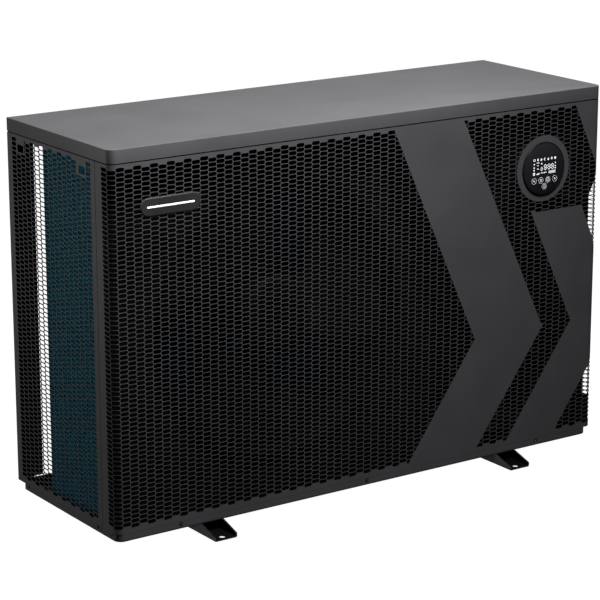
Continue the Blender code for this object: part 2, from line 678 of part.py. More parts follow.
def make_water_circuit():
    start = EXCHANGER[0] + EXCHANGER_RADIUS + 0.0006
    for water, z in (("inlet", INLET_Z), ("outlet", OUTLET_Z)):
        place = (0.0, WATER_Y, z)
        profile = [(PIPE_BORE, start), (PIPE_RADIUS, start), (PIPE_RADIUS, WIDTH + 0.0010),
                   (SOCKET_RADIUS, WIDTH + 0.0010), (SOCKET_RADIUS, WIDTH + 0.0150), (PIPE_BORE, WIDTH + 0.0150)]
        stub = finish(f"water_{water}_pipe", turned(profile, 24, "X"), GREY_PLASTIC, place, smooth=40)
        if water == "outlet":
            slot = block((-0.008, -0.0055, 0.012), (0.008, 0.0055, 0.040))
            cut(stub, "paddle_slot", slot, (PADDLE_X, WATER_Y, z))
        tail = tube(SOCKET_RADIUS, SOCKET_BORE, WIDTH + 0.0154, WIDTH + UNION_REACH)
        finish(f"{water}_union_tail", turned(tail, 24, "X"), GREY_PLASTIC, place, smooth=40)
        nut = [(SOCKET_RADIUS + 0.0006, WIDTH + 0.004), (0.0375, WIDTH + 0.004), (0.0390, WIDTH + 0.006),
               (0.0390, WIDTH + 0.032), (0.0360, WIDTH + 0.036), (SOCKET_RADIUS + 0.0006, WIDTH + 0.036)]
        finish(f"{water}_union_nut", turned(nut, 24, "X"), GREY_PLASTIC, place, smooth=40)

    base = OUTLET_Z + PIPE_RADIUS + GAP
    outline = rectangle((-0.016, -0.013), (0.016, 0.013))
    cavity = rectangle((-0.013, -0.010), (0.013, 0.010))
    switch = tray(outline, cavity, base + 0.036, base + 0.030, [base] * 4)
    finish("flow_switch", switch, BLACK_PLASTIC, (PADDLE_X, WATER_Y, 0.0))

    stem = 0.0035
    wing = 0.0115
    shoulder = -0.0235
    tip = -0.0440
    outline = [(-stem, 0.006), (-stem, shoulder), (-wing, shoulder - 0.003), (-wing, tip + 0.005),
               (-wing + 0.005, tip), (wing - 0.005, tip), (wing, tip + 0.005), (wing, shoulder - 0.003),
               (stem, shoulder), (stem, 0.006)]
    finish("flow_paddle", prism(outline, -0.0008, 0.0008, "X"), STEEL, parent=PADDLE_PIVOT)


def comb(back, base, tip, low, high, teeth):
    """An outline with a straight back whose teeth point from base to tip along the first axis."""
    pitch = (high - low) / (teeth - 0.5)
    outline = [(back, high), (back, low)]
    for i in range(teeth):
        start = low + i * pitch
        outline += [(tip, start), (tip, start + pitch / 2)]
        if i < teeth - 1:
            outline += [(base, start + pitch / 2), (base, start + pitch)]
    return outline


def make_electrics():
    wall = 0.0015
    outline = rectangle(BOX_LOW[:2], BOX_HIGH[:2])
    cavity = rectangle((BOX_LOW[0] + wall, BOX_LOW[1] + wall), (BOX_HIGH[0] - wall, BOX_HIGH[1] - wall))
    box = tray(outline, cavity, BOX_LOW[2], BOX_LOW[2] + wall, [BOX_HIGH[2]] * 4)
    finish("electrical_box", box, BLACK_ENAMEL)
    cover_z = BOX_HIGH[2] + GAP
    cover = block((*BOX_LOW[:2], cover_z), (*BOX_HIGH[:2], cover_z + wall))
    finish("electrical_cover", cover, BLACK_ENAMEL)
    margin = 0.015
    board_low = (BOX_LOW[0] + margin, BOX_LOW[1] + margin, 0.530)
    board_high = (BOX_HIGH[0] - margin, BOX_HIGH[1] - margin, 0.532)
    finish("inverter_board", block(board_low, board_high), BOARD)

    back = BOX_LOW[0] - GAP
    fins = comb(back, back - 0.005, 0.700, WINDOW_Y[0] + 0.004, WINDOW_Y[1] - 0.004, 8)
    finish("heat_sink", prism(fins, WINDOW_Z[0] + 0.004, WINDOW_Z[1] - 0.004), ALUMINIUM)
    back = BOX_HIGH[0] + GAP
    ways = comb(back, back + 0.008, back + 0.016, 0.110, 0.200, 6)
    finish("terminal_block", prism(ways, 0.575, 0.600), GREY_PLASTIC)

    face = WIDTH + GAP
    outline = rectangle((0.085, 0.535), (0.225, 0.645))
    cavity = rectangle((0.088, 0.538), (0.222, 0.642))
    bm = tray(outline, cavity, 0.014, 0.011, [0.0] * 4)
    for vert in bm.verts:
        vert.co = Vector((face + vert.co.z, vert.co.x, vert.co.y))
    finish("wiring_cover", bm, PAINT)
    gland = [(0.0, 0.0), (0.0120, 0.0), (0.0120, 0.006), (0.0100, 0.007), (0.0100, 0.016), (0.0070, 0.022),
             (0.0, 0.022)]
    finish("cable_gland", turned(gland, 12, "X"), BLACK_PLASTIC, (face, 0.155, 0.500))


make_base()
for side, centre_x in zip(("left", "right"), RAIL_CENTRES):
    make_rail(f"foot_rail_{side}", centre_x)
make_lid()
make_panels()
make_partition()
make_badge()
make_controller()
make_coil()
make_fan()
make_motor()
make_compressor()
make_refrigerant_pipes()
make_exchanger()
make_water_circuit()
make_electrics()
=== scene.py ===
"""The looks of the pool heat pump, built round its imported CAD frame.

Shapes are written in cabinet coordinates: x from the left face, y from the front face, z from the ground,
all in metres. CORNER, taken from the lid's box, puts them in the world.
"""

import math
import random

import bmesh
import bpy
from mathutils import Matrix, Vector
from mathutils.geometry import delaunay_2d_cdt, tessellate_polygon


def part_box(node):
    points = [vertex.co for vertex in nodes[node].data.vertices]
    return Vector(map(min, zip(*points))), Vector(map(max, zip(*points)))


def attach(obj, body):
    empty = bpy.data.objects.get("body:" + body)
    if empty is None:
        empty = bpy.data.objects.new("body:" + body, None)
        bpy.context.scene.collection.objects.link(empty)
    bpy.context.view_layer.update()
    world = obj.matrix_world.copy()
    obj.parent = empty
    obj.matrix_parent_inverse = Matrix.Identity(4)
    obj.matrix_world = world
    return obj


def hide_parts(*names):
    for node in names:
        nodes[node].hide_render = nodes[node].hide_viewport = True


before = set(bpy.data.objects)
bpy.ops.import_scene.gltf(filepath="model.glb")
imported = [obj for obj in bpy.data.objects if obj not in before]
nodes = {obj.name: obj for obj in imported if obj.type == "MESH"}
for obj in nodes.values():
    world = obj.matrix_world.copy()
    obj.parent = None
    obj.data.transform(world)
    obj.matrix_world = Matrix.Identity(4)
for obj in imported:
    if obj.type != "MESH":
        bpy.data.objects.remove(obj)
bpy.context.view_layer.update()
scene = bpy.context.scene

# ---------------------------------------------------------------- sizes read from the frame

LID_LOW, LID_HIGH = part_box("lid")
CORNER = Vector((LID_LOW.x, LID_LOW.y, 0.0))
WIDTH = LID_HIGH.x - LID_LOW.x
DEPTH = LID_HIGH.y - LID_LOW.y
HEIGHT = LID_HIGH.z


def node_box(name):
    """A node's box in cabinet coordinates."""
    low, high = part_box(name)
    return low - CORNER, high - CORNER


PANEL_LOW, PANEL_HIGH = node_box("front_panel")
LEFT_LOW, LEFT_HIGH = node_box("left_panel")
RIGHT_LOW, RIGHT_HIGH = node_box("right_panel")
PAN_LOW, PAN_HIGH = node_box("base_pan")
COIL_LOW, COIL_HIGH = node_box("evaporator_fins")
RING_LOW, RING_HIGH = node_box("fan_ring")
BULKHEAD_LOW, BULKHEAD_HIGH = node_box("fan_bulkhead")
FACE_LOW, FACE_HIGH = node_box("controller_face")
NECK_LOW, NECK_HIGH = node_box("controller_housing")
BADGE_LOW, BADGE_HIGH = node_box("badge")
PAN_Z = PAN_LOW.z
LID_FLANGE_Z = LID_LOW.z
PANEL_BOTTOM = PANEL_LOW.z
PANEL_TOP = PANEL_HIGH.z
WRAP = PANEL_HIGH.y
SEAM = LEFT_LOW.y
FAN_X = (RING_LOW.x + RING_HIGH.x) / 2
FAN_Z = (RING_LOW.z + RING_HIGH.z) / 2

SHEET = 0.0012
FLANGE_SEAM = 0.0011
UNIT = 1.100
CORNER_RADIUS = 0.016
ARC_LENGTH = CORNER_RADIUS * math.pi / 2
GAP = 0.0003
SEAM_GAP = 0.0004

# ---------------------------------------------------------------- colours and materials


def srgb(red, green, blue):
    """A linear colour from 0-255 screen values."""
    linear = []
    for value in (red, green, blue):
        value /= 255
        linear.append(value / 12.92 if value <= 0.04045 else ((value + 0.055) / 1.055) ** 2.4)
    return (*linear, 1.0)


class Nodes:
    """A small helper that adds and joins shader nodes."""

    def __init__(self, name):
        self.material = bpy.data.materials.new(name)
        self.material.use_nodes = True
        self.tree = self.material.node_tree
        self.shader = self.tree.nodes["Principled BSDF"]
        self.place = self.add("ShaderNodeTexCoord").outputs["Object"]

    def add(self, kind, inputs=None, **settings):
        node = self.tree.nodes.new(kind)
        for key, value in settings.items():
            setattr(node, key, value)
        for key, value in (inputs or {}).items():
            node.inputs[key].default_value = value
        return node

    def link(self, start, end):
        self.tree.links.new(start, end)

    def textured(self, kind, inputs, output, vector=None, **settings):
        """Adds a node that is fed with a place, and gives one of its outputs."""
        node = self.add(kind, inputs, **settings)
        self.link(vector or self.place, node.inputs["Vector"])
        return node.outputs[output]

    def stretched(self, scale):
        return self.textured("ShaderNodeMapping", {"Scale": scale}, "Vector")

    def noise(self, scale, detail=3.0, vector=None):
        return self.textured("ShaderNodeTexNoise", {"Scale": scale, "Detail": detail}, "Fac", vector)

    def ramp(self, factor, *stops):
        node = self.add("ShaderNodeValToRGB")
        ramp = node.color_ramp
        while len(ramp.elements) < len(stops):
            ramp.elements.new(0.5)
        for element, (position, colour) in zip(ramp.elements, stops):
            element.position = position
            element.color = colour
        self.link(factor, node.inputs["Fac"])
        return node.outputs["Color"]

    def spread(self, factor, low, high):
        limits = {"From Min": 0.3, "From Max": 0.7, "To Min": low, "To Max": high}
        node = self.add("ShaderNodeMapRange", limits)
        self.link(factor, node.inputs["Value"])
        return node.outputs["Result"]

    def bump(self, height, strength, distance, below=None):
        node = self.add("ShaderNodeBump", {"Strength": strength, "Distance": distance})
        self.link(height, node.inputs["Height"])
        if below:
            self.link(below, node.inputs["Normal"])
        return node.outputs["Normal"]

    def wire(self, colour=None, roughness=None, normal=None, **fixed):
        for key, output in (("Base Color", colour), ("Roughness", roughness), ("Normal", normal)):
            if output:
                self.link(output, self.shader.inputs[key])
        for key, value in fixed.items():
            self.shader.inputs[key.replace("_", " ")].default_value = value
        return self.material


def tinted(colour, factor):
    return (*(min(1.0, channel * factor) for channel in colour[:3]), 1.0)


def powder_coat(name, colour, specular=0.25):
    """Fine-textured powder coat: a sub-millimetre grain, a soft orange peel and a faint cloudiness."""
    n = Nodes(name)
    cloud = n.noise(9.0, 4.0)
    tone = n.ramp(cloud, (0.30, tinted(colour, 0.90)), (0.70, tinted(colour, 1.10)))
    grain = n.noise(1500.0, 2.0)
    peel = n.noise(260.0, 2.0)
    normal = n.bump(grain, 0.30, 0.0002, n.bump(peel, 0.12, 0.0005))
    return n.wire(tone, n.spread(grain, 0.48, 0.60), normal, Specular_IOR_Level=specular)


def moulded(name, colour, low=0.38, high=0.52, scale=900.0, specular=0.4):
    """Moulded plastic with a spark-eroded grain."""
    n = Nodes(name)
    cloud = n.noise(14.0, 3.0)
    tone = n.ramp(cloud, (0.30, tinted(colour, 0.86)), (0.70, tinted(colour, 1.12)))
    grain = n.textured("ShaderNodeTexVoronoi", {"Scale": scale}, "Distance")
    normal = n.bump(grain, 0.18, 0.0002)
    return n.wire(tone, n.spread(cloud, low, high), normal, Specular_IOR_Level=specular)


def metal(name, colour, low, high, stretch=(1.0, 1.0, 1.0), scale=60.0, strength=0.08):
    """Bare metal whose grain is drawn out along one direction."""
    n = Nodes(name)
    along = n.stretched(stretch)
    grain = n.noise(scale, 5.0, along)
    stain = n.noise(16.0, 3.0)
    tone = n.ramp(stain, (0.28, tinted(colour, 0.78)), (0.72, tinted(colour, 1.08)))
    normal = n.bump(grain, strength, 0.0004)
    return n.wire(tone, n.spread(grain, low, high), normal, Metallic=1.0)


def fin_stock(name, colour):
    """Blue hydrophilic-coated aluminium foil with the pressed ripple of the fins."""
    n = Nodes(name)
    ripple = n.textured("ShaderNodeTexWave", {"Scale": 45.0, "Distortion": 0.3}, "Fac", bands_direction="Z")
    batch = n.noise(40.0, 3.0, n.stretched((6.0, 6.0, 0.4)))
    tone = n.ramp(batch, (0.30, tinted(colour, 0.80)), (0.70, tinted(colour, 1.18)))
    normal = n.bump(ripple, 0.25, 0.0006)
    return n.wire(tone, n.spread(batch, 0.36, 0.55), normal, Metallic=0.30, Specular_IOR_Level=0.15)


def rubbery(name, colour):
    n = Nodes(name)
    dust = n.noise(120.0, 5.0)
    tone = n.ramp(dust, (0.35, colour), (0.80, tinted(colour, 1.5)))
    normal = n.bump(n.noise(700.0, 3.0), 0.25, 0.0004)
    return n.wire(tone, n.spread(dust, 0.78, 0.92), normal, Specular_IOR_Level=0.12)


def glassy(name, colour):
    """A hard-coated acrylic face: nearly mirror smooth, with the faintest haze."""
    n = Nodes(name)
    haze = n.noise(22.0, 3.0)
    tone = n.ramp(haze, (0.3, tinted(colour, 0.9)), (0.7, tinted(colour, 1.12)))
    return n.wire(tone, n.spread(haze, 0.10, 0.16), n.bump(haze, 0.02, 0.0004), Specular_IOR_Level=0.45)


def ink(name, colour, painted_glow=0.0):
    """Screen-printed ink with a slightly uneven lay, and an optional emission that is painted glow."""
    n = Nodes(name)
    lay = n.noise(900.0, 3.0)
    tone = n.ramp(lay, (0.30, tinted(colour, 0.90)), (0.70, tinted(colour, 1.05)))
    material = n.wire(tone, n.spread(lay, 0.35, 0.5), n.bump(lay, 0.10, 0.0001))
    # The emission makes the ink glow though it is no lamp: painted glow.
    if painted_glow:
        n.shader.inputs["Emission Color"].default_value = colour
        n.shader.inputs["Emission Strength"].default_value = painted_glow
    return material


def board(name):
    """Green solder mask over a fine web of tracks."""
    n = Nodes(name)
    colours = {"Color1": srgb(18, 78, 44), "Color2": srgb(26, 96, 54), "Mortar": srgb(96, 128, 70)}
    tracks = n.add("ShaderNodeTexBrick", {"Scale": 90.0, "Mortar Size": 0.06, **colours})
    n.link(n.place, tracks.inputs["Vector"])
    normal = n.bump(tracks.outputs["Fac"], 0.2, 0.0003)
    return n.wire(tracks.outputs["Color"], n.spread(n.noise(200.0), 0.25, 0.4), normal)


def laminated(name, colour):
    """Stacked motor laminations with varnish."""
    n = Nodes(name)
    stack = n.textured("ShaderNodeTexWave", {"Scale": 300.0}, "Fac", bands_direction="Y")
    tone = n.ramp(stack, (0.2, tinted(colour, 0.6)), (0.8, tinted(colour, 1.2)))
    normal = n.bump(stack, 0.3, 0.0004)
    return n.wire(tone, n.spread(n.noise(80.0), 0.4, 0.6), normal, Metallic=0.6)


PAINT = powder_coat("graphite_powder_coat", srgb(50, 50, 52), 0.20)
# Near-black paint on the sheets' inner sides and cut edges and on the parts inside the cabinet: painted shade
# for the dark interior.
INNER_SHADE_PAINT = powder_coat("black_painted_inner_shade", srgb(5, 5, 5), 0.06)
FIN = fin_stock("blue_fin_stock", srgb(50, 158, 178))
BLACK_PLASTIC = moulded("black_moulding", srgb(22, 22, 23), specular=0.3)
# Partly real, partly painted shade: the fan is black plastic, darkened further to near black with almost no
# specular so that it stays in shade. The bell mouth and the rail liners use it too.
SHADE_BLACK_PLASTIC = moulded("near_black_shade_plastic", srgb(3, 3, 3), 0.60, 0.75, specular=0.03)
# The fan nut is darkened as painted shade, so that it stays dark inside the cabinet.
SHADE_DARKENED_NUT = metal("shade_darkened_nut", srgb(30, 28, 24), 0.35, 0.50)
BADGE_PLASTIC = moulded("badge_moulding", srgb(27, 27, 28), 0.40, 0.55, specular=0.2)
BEZEL = moulded("black_bezel", srgb(6, 6, 7), 0.40, 0.55, specular=0.1)
GLOSS = glassy("controller_acrylic", srgb(22, 22, 24))
GREY_PLASTIC = moulded("grey_pvc", srgb(118, 120, 122), 0.30, 0.45)
ENAMEL = moulded("black_enamel", srgb(26, 26, 28), 0.22, 0.34, 400.0)
RUBBER = rubbery("black_rubber", srgb(10, 10, 10))
COPPER = metal("copper_tube", srgb(196, 122, 88), 0.22, 0.42)
BRASS = metal("turned_brass", srgb(190, 158, 92), 0.20, 0.34, (1.0, 1.0, 8.0))
STEEL = metal("ground_steel", srgb(168, 168, 170), 0.22, 0.36, (1.0, 6.0, 1.0))
ZINC = metal("zinc_screw", srgb(104, 104, 106), 0.30, 0.45)
TITANIUM = metal("drawn_titanium", srgb(150, 147, 142), 0.25, 0.40)
ALUMINIUM = metal("die_cast_aluminium", srgb(172, 174, 176), 0.38, 0.55, scale=240.0, strength=0.16)
LAMINATED = laminated("motor_laminations", srgb(96, 84, 74))
BOARD = board("circuit_board")
# Both inks glow a little as painted light.
WHITE_INK_PAINTED_GLOW = ink("white_ink_painted_glow", srgb(214, 216, 220), 0.38)
GREY_INK_PAINTED_GLOW = ink("grey_ink_painted_glow", srgb(176, 178, 182), 0.16)
PANE = glassy("display_pane", srgb(20, 20, 22))

CAD_FINISHES = {
    PAINT: ("rear_panel", "wiring_cover"),
    # The parts inside the cabinet take the near-black paint as painted shade.
    INNER_SHADE_PAINT: ("partition", "electrical_box", "electrical_cover", "evaporator_tube_plate",
                  "motor_bracket"),
    BLACK_PLASTIC: ("controller_housing", "flow_switch", "drain_nozzle"),
    GREY_PLASTIC: ("exchanger_shell", "exchanger_cap", "water_inlet_pipe", "water_outlet_pipe",
                   "terminal_block"),
    ENAMEL: ("compressor", "compressor_base", "accumulator", "motor_housing"),
    RUBBER: ("compressor_foot_1", "compressor_foot_2", "compressor_foot_3"),
    COPPER: ("discharge_pipe", "suction_pipe", "coil_gas_pipe", "exchanger_gas_pipe", "exchanger_liquid_pipe",
             "coil_liquid_pipe", "accumulator_pipe"),
    BRASS: ("reversing_valve", "expansion_valve"),
    SHADE_DARKENED_NUT: ("fan_nut",),
    STEEL: ("motor_shaft", "motor_front_bearing", "motor_rear_bearing", "flow_paddle"),
    LAMINATED: ("motor_stator", "motor_rotor"),
    TITANIUM: ("titanium_coil",),
    ALUMINIUM: ("motor_end_cap", "heat_sink"),
    BOARD: ("inverter_board",),
}
for material, names in CAD_FINISHES.items():
    for name in names:
        for material_slot in nodes[name].material_slots:
            material_slot.material = material

# ---------------------------------------------------------------- mesh helpers


def settle(obj, angle):
    """Applies an object's modifiers and shades it smooth below an angle."""
    if obj.modifiers:
        graph = bpy.context.evaluated_depsgraph_get()
        mesh = bpy.data.meshes.new_from_object(obj.evaluated_get(graph))
        obj.modifiers.clear()
        obj.data = mesh
    obj.data.shade_smooth()
    obj.data.set_sharp_from_angle(angle=math.radians(angle))


def piece(name, bm, material, body="cabinet", stands_for=(), angle=30, thickness=0.0,
          outwards=True, shade_lining=None):
    """Puts a mesh in cabinet coordinates into the world as a piece that rides on a body.

    With a shade lining, a sheet's cut edges and its inner side take that second material: near-black paint
    that stands in for shade.
    """
    if outwards:
        bmesh.ops.recalc_face_normals(bm, faces=bm.faces)
    mesh = bpy.data.meshes.new(name)
    bm.to_mesh(mesh)
    bm.free()
    mesh.transform(Matrix.Translation(CORNER))
    mesh.materials.append(material)
    obj = bpy.data.objects.new(name, mesh)
    scene.collection.objects.link(obj)
    if thickness:
        solid = obj.modifiers.new("thickness", "SOLIDIFY")
        solid.thickness = thickness
        solid.offset = -1.0
        solid.use_even_offset = True
        # The second material paints shade on the rims and the inner side.
        if shade_lining:
            mesh.materials.append(shade_lining)
            solid.material_offset = 1
            solid.material_offset_rim = 1
    settle(obj, angle)
    obj.data.name = name
    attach(obj, body)
    if stands_for:
        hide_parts(*stands_for)
    return obj


def arc(centre, radius, start, end, steps):
    points = []
    for i in range(steps + 1):
        angle = math.radians(start + (end - start) * i / steps)
        points.append((centre[0] + radius * math.cos(angle), centre[1] + radius * math.sin(angle)))
    return points


def around(loop):
    """Each item of a closed loop with the one after it."""
    return zip(loop, loop[1:] + loop[:1])


def along_axis(axis, level, u, v):
    """A point at a level along an axis, with its two other coordinates in order."""
    return {"X": (level, u, v), "Y": (u, level, v), "Z": (u, v, level)}[axis]


def other_axes(axis):
    """The number of an axis, and the numbers of the two others."""
    index = "XYZ".index(axis)
    return index, *(i for i in range(3) if i != index)


def ring_faces(bm, first, second):
    for i in range(len(first)):
        j = (i + 1) % len(first)
        bm.faces.new((first[i], first[j], second[j], second[i]))


def skin(bm, loops):
    """Joins loops of vertices into a closed solid, with a cap at each end."""
    for one, two in zip(loops, loops[1:]):
        ring_faces(bm, one, two)
    bm.faces.new(loops[0])
    bm.faces.new(loops[-1])


def skin_round(bm, loops):
    """Joins loops of vertices, and the last one to the first."""
    for one, two in around(loops):
        ring_faces(bm, one, two)


def turned(bm, profile, segments, centre, axis):
    """Turns a (radius, height) profile about an axis through centre."""
    rows = []
    for i in range(segments):
        angle = 2 * math.pi * i / segments
        row = []
        for radius, height in profile:
            place = along_axis(axis, height, radius * math.cos(angle), radius * math.sin(angle))
            row.append(bm.verts.new(Vector(centre) + Vector(place)))
        rows.append(row)
    for one, two in around(rows):
        for a in range(len(profile) - 1):
            bm.faces.new((one[a], one[a + 1], two[a + 1], two[a]))
    bmesh.ops.remove_doubles(bm, verts=[v for row in rows for v in row], dist=1e-6)


def closed_turned(bm, profile, segments, centre, axis):
    turned(bm, list(profile) + [profile[0]], segments, centre, axis)


def prism(bm, outline, low, high, axis):
    """Extrudes a 2-D outline between two levels."""
    skin(bm, [[bm.verts.new(along_axis(axis, level, u, v)) for u, v in outline] for level in (low, high)])


def soft_block(bm, low, high, radius, axis, steps, lip):
    """A block with rounded corners in plan and a small chamfer round one end."""
    index, u, v = other_axes(axis)
    loops = []
    for level, inset in ((low[index], 0.0), (high[index] - lip, 0.0), (high[index], lip)):
        plan = round_rectangle((low[u] + inset, low[v] + inset), (high[u] - inset, high[v] - inset),
                               radius - inset * 0.5, steps)
        loops.append([bm.verts.new(along_axis(axis, level, a, b)) for a, b in plan])
    skin(bm, loops)


def tube(bm, points, radius, sides):
    """A round bar along a polyline."""
    points = [Vector(p) for p in points]
    loops = []
    side = None
    for i, point in enumerate(points):
        before = points[max(i - 1, 0)]
        after = points[min(i + 1, len(points) - 1)]
        along = (after - before).normalized()
        if side is None:
            side = along.orthogonal().normalized()
        side = (side - along * side.dot(along)).normalized()
        other = along.cross(side)
        loop = []
        for k in range(sides):
            angle = 2 * math.pi * k / sides
            reach = side * (radius * math.cos(angle))
            loop.append(bm.verts.new(point + reach + other * (radius * math.sin(angle))))
        loops.append(loop)
    skin(bm, loops)


# ---------------------------------------------------------------- perforated sheets

TIP = 0.0097
CELL_HALF = 0.004270
ROW = CELL_HALF * 2
WEB = 0.0013
SIDE_WEB = 0.0017
FRONT_FIRST = 0.0195 * UNIT
FRONT_PITCH = 0.015392 * UNIT
SIDE_FIRST = 0.0655 * UNIT
SIDE_PITCH = 0.0153 * UNIT
ROWS = 76
TOP_ROW = PAN_Z + 0.6723
SMALLEST_CELL = 1e-9
SMALLEST_HOLE = 3e-6
CORNER_CUT = 0.0011


def area(polygon):
    total = 0.0
    for a, b in around(polygon):
        total += a.x * b.y - a.y * b.x
    return abs(total) / 2


def clip(polygon, point, normal):
    """The part of a polygon on the side of a line that the normal points to."""
    kept = []
    for a, b in around(polygon):
        da = (a - point).dot(normal)
        db = (b - point).dot(normal)
        if da >= 0:
            kept.append(a)
        if (da > 0) != (db > 0) and abs(da - db) > 1e-12:
            kept.append(a + (b - a) * (da / (da - db)))
    return kept


def outward_edges(polygon):
    """Points and outward normals of a convex polygon's edges."""
    centre = sum(polygon, Vector((0.0, 0.0))) / len(polygon)
    edges = []
    for a, b in around(polygon):
        normal = Vector((b.y - a.y, a.x - b.x)).normalized()
        if (a - centre).dot(normal) < 0:
            normal = -normal
        edges.append((a, normal))
    return edges


class Region:
    """A convex area of the sheet that is left solid."""

    def __init__(self, points):
        self.points = [Vector(p) for p in points]
        self.edges = outward_edges(self.points)
        self.low = (min(p.x for p in self.points), min(p.y for p in self.points))
        self.high = (max(p.x for p in self.points), max(p.y for p in self.points))

    def far_from(self, polygon):
        return (max(p.x for p in polygon) < self.low[0] or min(p.x for p in polygon) > self.high[0]
                or max(p.y for p in polygon) < self.low[1] or min(p.y for p in polygon) > self.high[1])

    def leaves(self, polygon):
        """The largest part of a polygon that lies outside the region."""
        if self.far_from(polygon):
            return polygon
        return max((clip(polygon, point, normal) for point, normal in self.edges), key=area)

    def holds(self, point):
        return all((point - corner).dot(normal) < 0 for corner, normal in self.edges)


def inside(polygon, point):
    crossings = 0
    for a, b in around(polygon):
        if (a.y > point.y) != (b.y > point.y):
            crossings += point.x < a.x + (b.x - a.x) * (point.y - a.y) / (b.y - a.y)
    return crossings % 2 == 1


def hexagon(centre, tip, flat, half):
    return [centre + Vector(p) for p in
            ((tip, 0), (flat, half), (-flat, half), (-tip, 0), (-flat, -half), (flat, -half))]


def eased(polygon, cut):
    """A polygon with each corner taken off."""
    points = []
    for i, corner in enumerate(polygon):
        for other in (polygon[i - 1], polygon[(i + 1) % len(polygon)]):
            step = min(cut, (other - corner).length * 0.3)
            points.append(corner + (other - corner).normalized() * step)
    return points


def perforated(first, pitch, columns, low, high, solids, openings, web):
    """The flat sheet, in (distance along the sheet, height), as vertices and faces.

    columns is the range of column numbers that have holes. Even columns start at the top row, and odd ones
    half a row lower. openings are convex outlines cut right through, inside cells that are otherwise solid.
    """
    flat = pitch - TIP
    slope = Vector((CELL_HALF, TIP - flat)).normalized()
    hole_half = CELL_HALF - web / 2
    hole_tip = TIP - web / 2 / slope.x
    hole_flat = (slope.x * TIP - web / 2 - slope.y * hole_half) / slope.x
    start = math.floor((low[0] - first) / pitch) - 1
    end = math.ceil((high[0] - first) / pitch) + 1
    rows_above = math.ceil((high[1] - TOP_ROW) / ROW) + 1
    rows_in_all = math.ceil((TOP_ROW - low[1]) / ROW) + 2
    border = [(Vector(low), Vector((1.0, 0.0))), (Vector(low), Vector((0.0, 1.0))),
              (Vector(high), Vector((-1.0, 0.0))), (Vector(high), Vector((0.0, -1.0)))]
    cells = []
    for column in range(start, end + 1):
        drop = CELL_HALF if column % 2 else 0.0
        for row in range(-rows_above, rows_in_all):
            centre = Vector((first + column * pitch, TOP_ROW - drop - row * ROW))
            outer = hexagon(centre, TIP, flat, CELL_HALF)
            for point, normal in border:
                outer = clip(outer, point, normal)
            if len(outer) < 3 or area(outer) < SMALLEST_CELL:
                continue
            hole = None
            if column in columns and 0 <= row < ROWS:
                hole = hexagon(centre, hole_tip, hole_flat, hole_half)
                whole = area(hole)
                for solid in solids:
                    if len(hole) >= 3:
                        hole = solid.leaves(hole)
                if len(hole) < 3 or area(hole) < SMALLEST_HOLE:
                    hole = None
                elif area(hole) > 0.999 * whole:
                    hole = eased(hole, CORNER_CUT)
            cells.append((outer, hole))
    verts = []
    faces = []

    def add(points, triangles):
        base = len(verts)
        verts.extend(points)
        faces.extend([tuple(base + i for i in triangle) for triangle in triangles])

    patches = [[] for opening in openings]
    for outer, hole in cells:
        home = None
        for opening, patch in zip(openings, patches):
            if not opening.far_from(outer) and area(opening.leaves(outer)) < area(outer) - SMALLEST_CELL:
                home = patch
        if home is not None:
            home.append((outer, hole))
        elif hole is None:
            add(outer, [range(len(outer))])
        else:
            rings = [[p.to_3d() for p in outer], [p.to_3d() for p in hole]]
            add(outer + hole, tessellate_polygon(rings))
    for opening, patch in zip(openings, patches):
        add(*cut_opening(opening, patch))
    return verts, faces


def cut_opening(opening, patch):
    """Triangles of a patch of cells round an opening."""
    points = []
    numbers = {}
    uses = {}

    def number(point):
        key = (round(point.x * 1e6), round(point.y * 1e6))
        if key not in numbers:
            numbers[key] = len(points)
            points.append(point)
        return numbers[key]

    constraints = set()
    for outer, hole in patch:
        for a, b in around(outer):
            edge = tuple(sorted((number(a), number(b))))
            uses[edge] = uses.get(edge, 0) + 1
        if hole:
            for a, b in around(hole):
                constraints.add((number(a), number(b)))
    constraints |= {edge for edge, count in uses.items() if count == 1}
    for a, b in around(opening.points):
        constraints.add((number(a), number(b)))
    result = delaunay_2d_cdt(points, list(constraints), [], 0, 1e-7)
    kept = []
    for triangle in result[2]:
        middle = sum((result[0][i] for i in triangle), Vector((0.0, 0.0))) / 3
        covered = any(inside(outer, middle) for outer, hole in patch)
        open_here = opening.holds(middle) or any(hole and inside(hole, middle) for outer, hole in patch)
        if covered and not open_here:
            kept.append(triangle)
    return list(result[0]), kept


def sheet_mesh(verts, faces, bends, place):
    """Welds a flat sheet, splits it where it bends, and puts each point in space."""
    bm = bmesh.new()
    made = [bm.verts.new((p.x, 0.0, p.y)) for p in verts]
    for face in faces:
        corners = [made[i] for i in face]
        a, b, c = (v.co for v in corners[:3])
        if (b - a).cross(c - a).y > 0:
            corners.reverse()
        bm.faces.new(corners)
    bmesh.ops.remove_doubles(bm, verts=bm.verts, dist=2e-5)
    bmesh.ops.dissolve_degenerate(bm, edges=bm.edges, dist=1e-6)
    loose = [v for v in bm.verts if not v.link_faces]
    bmesh.ops.delete(bm, geom=loose, context="VERTS")
    for level in bends:
        near = [f for f in bm.faces if min(v.co.x for v in f.verts) < level < max(v.co.x for v in f.verts)]
        geometry = set(near)
        for f in near:
            geometry.update(f.verts)
            geometry.update(f.edges)
        bmesh.ops.bisect_plane(bm, geom=list(geometry), dist=1e-7, plane_co=(level, 0, 0), plane_no=(1, 0, 0))
    for v in bm.verts:
        v.co = place(v.co.x, v.co.z)
    return bm


def band(*points):
    """A solid area whose corners are in UNITs from the left face and the pan's underside."""
    return Region([(x * UNIT, PAN_Z + z * UNIT) for x, z in points])


def circle(x, z, radius, steps):
    return Region(ring_points(x, z, radius, steps))


def stadium(x, z, half_length, half_height, steps):
    outline = arc((x - half_length + half_height, z), half_height, 90, 270, steps)
    outline += arc((x + half_length - half_height, z), half_height, -90, 90, steps)
    return outline


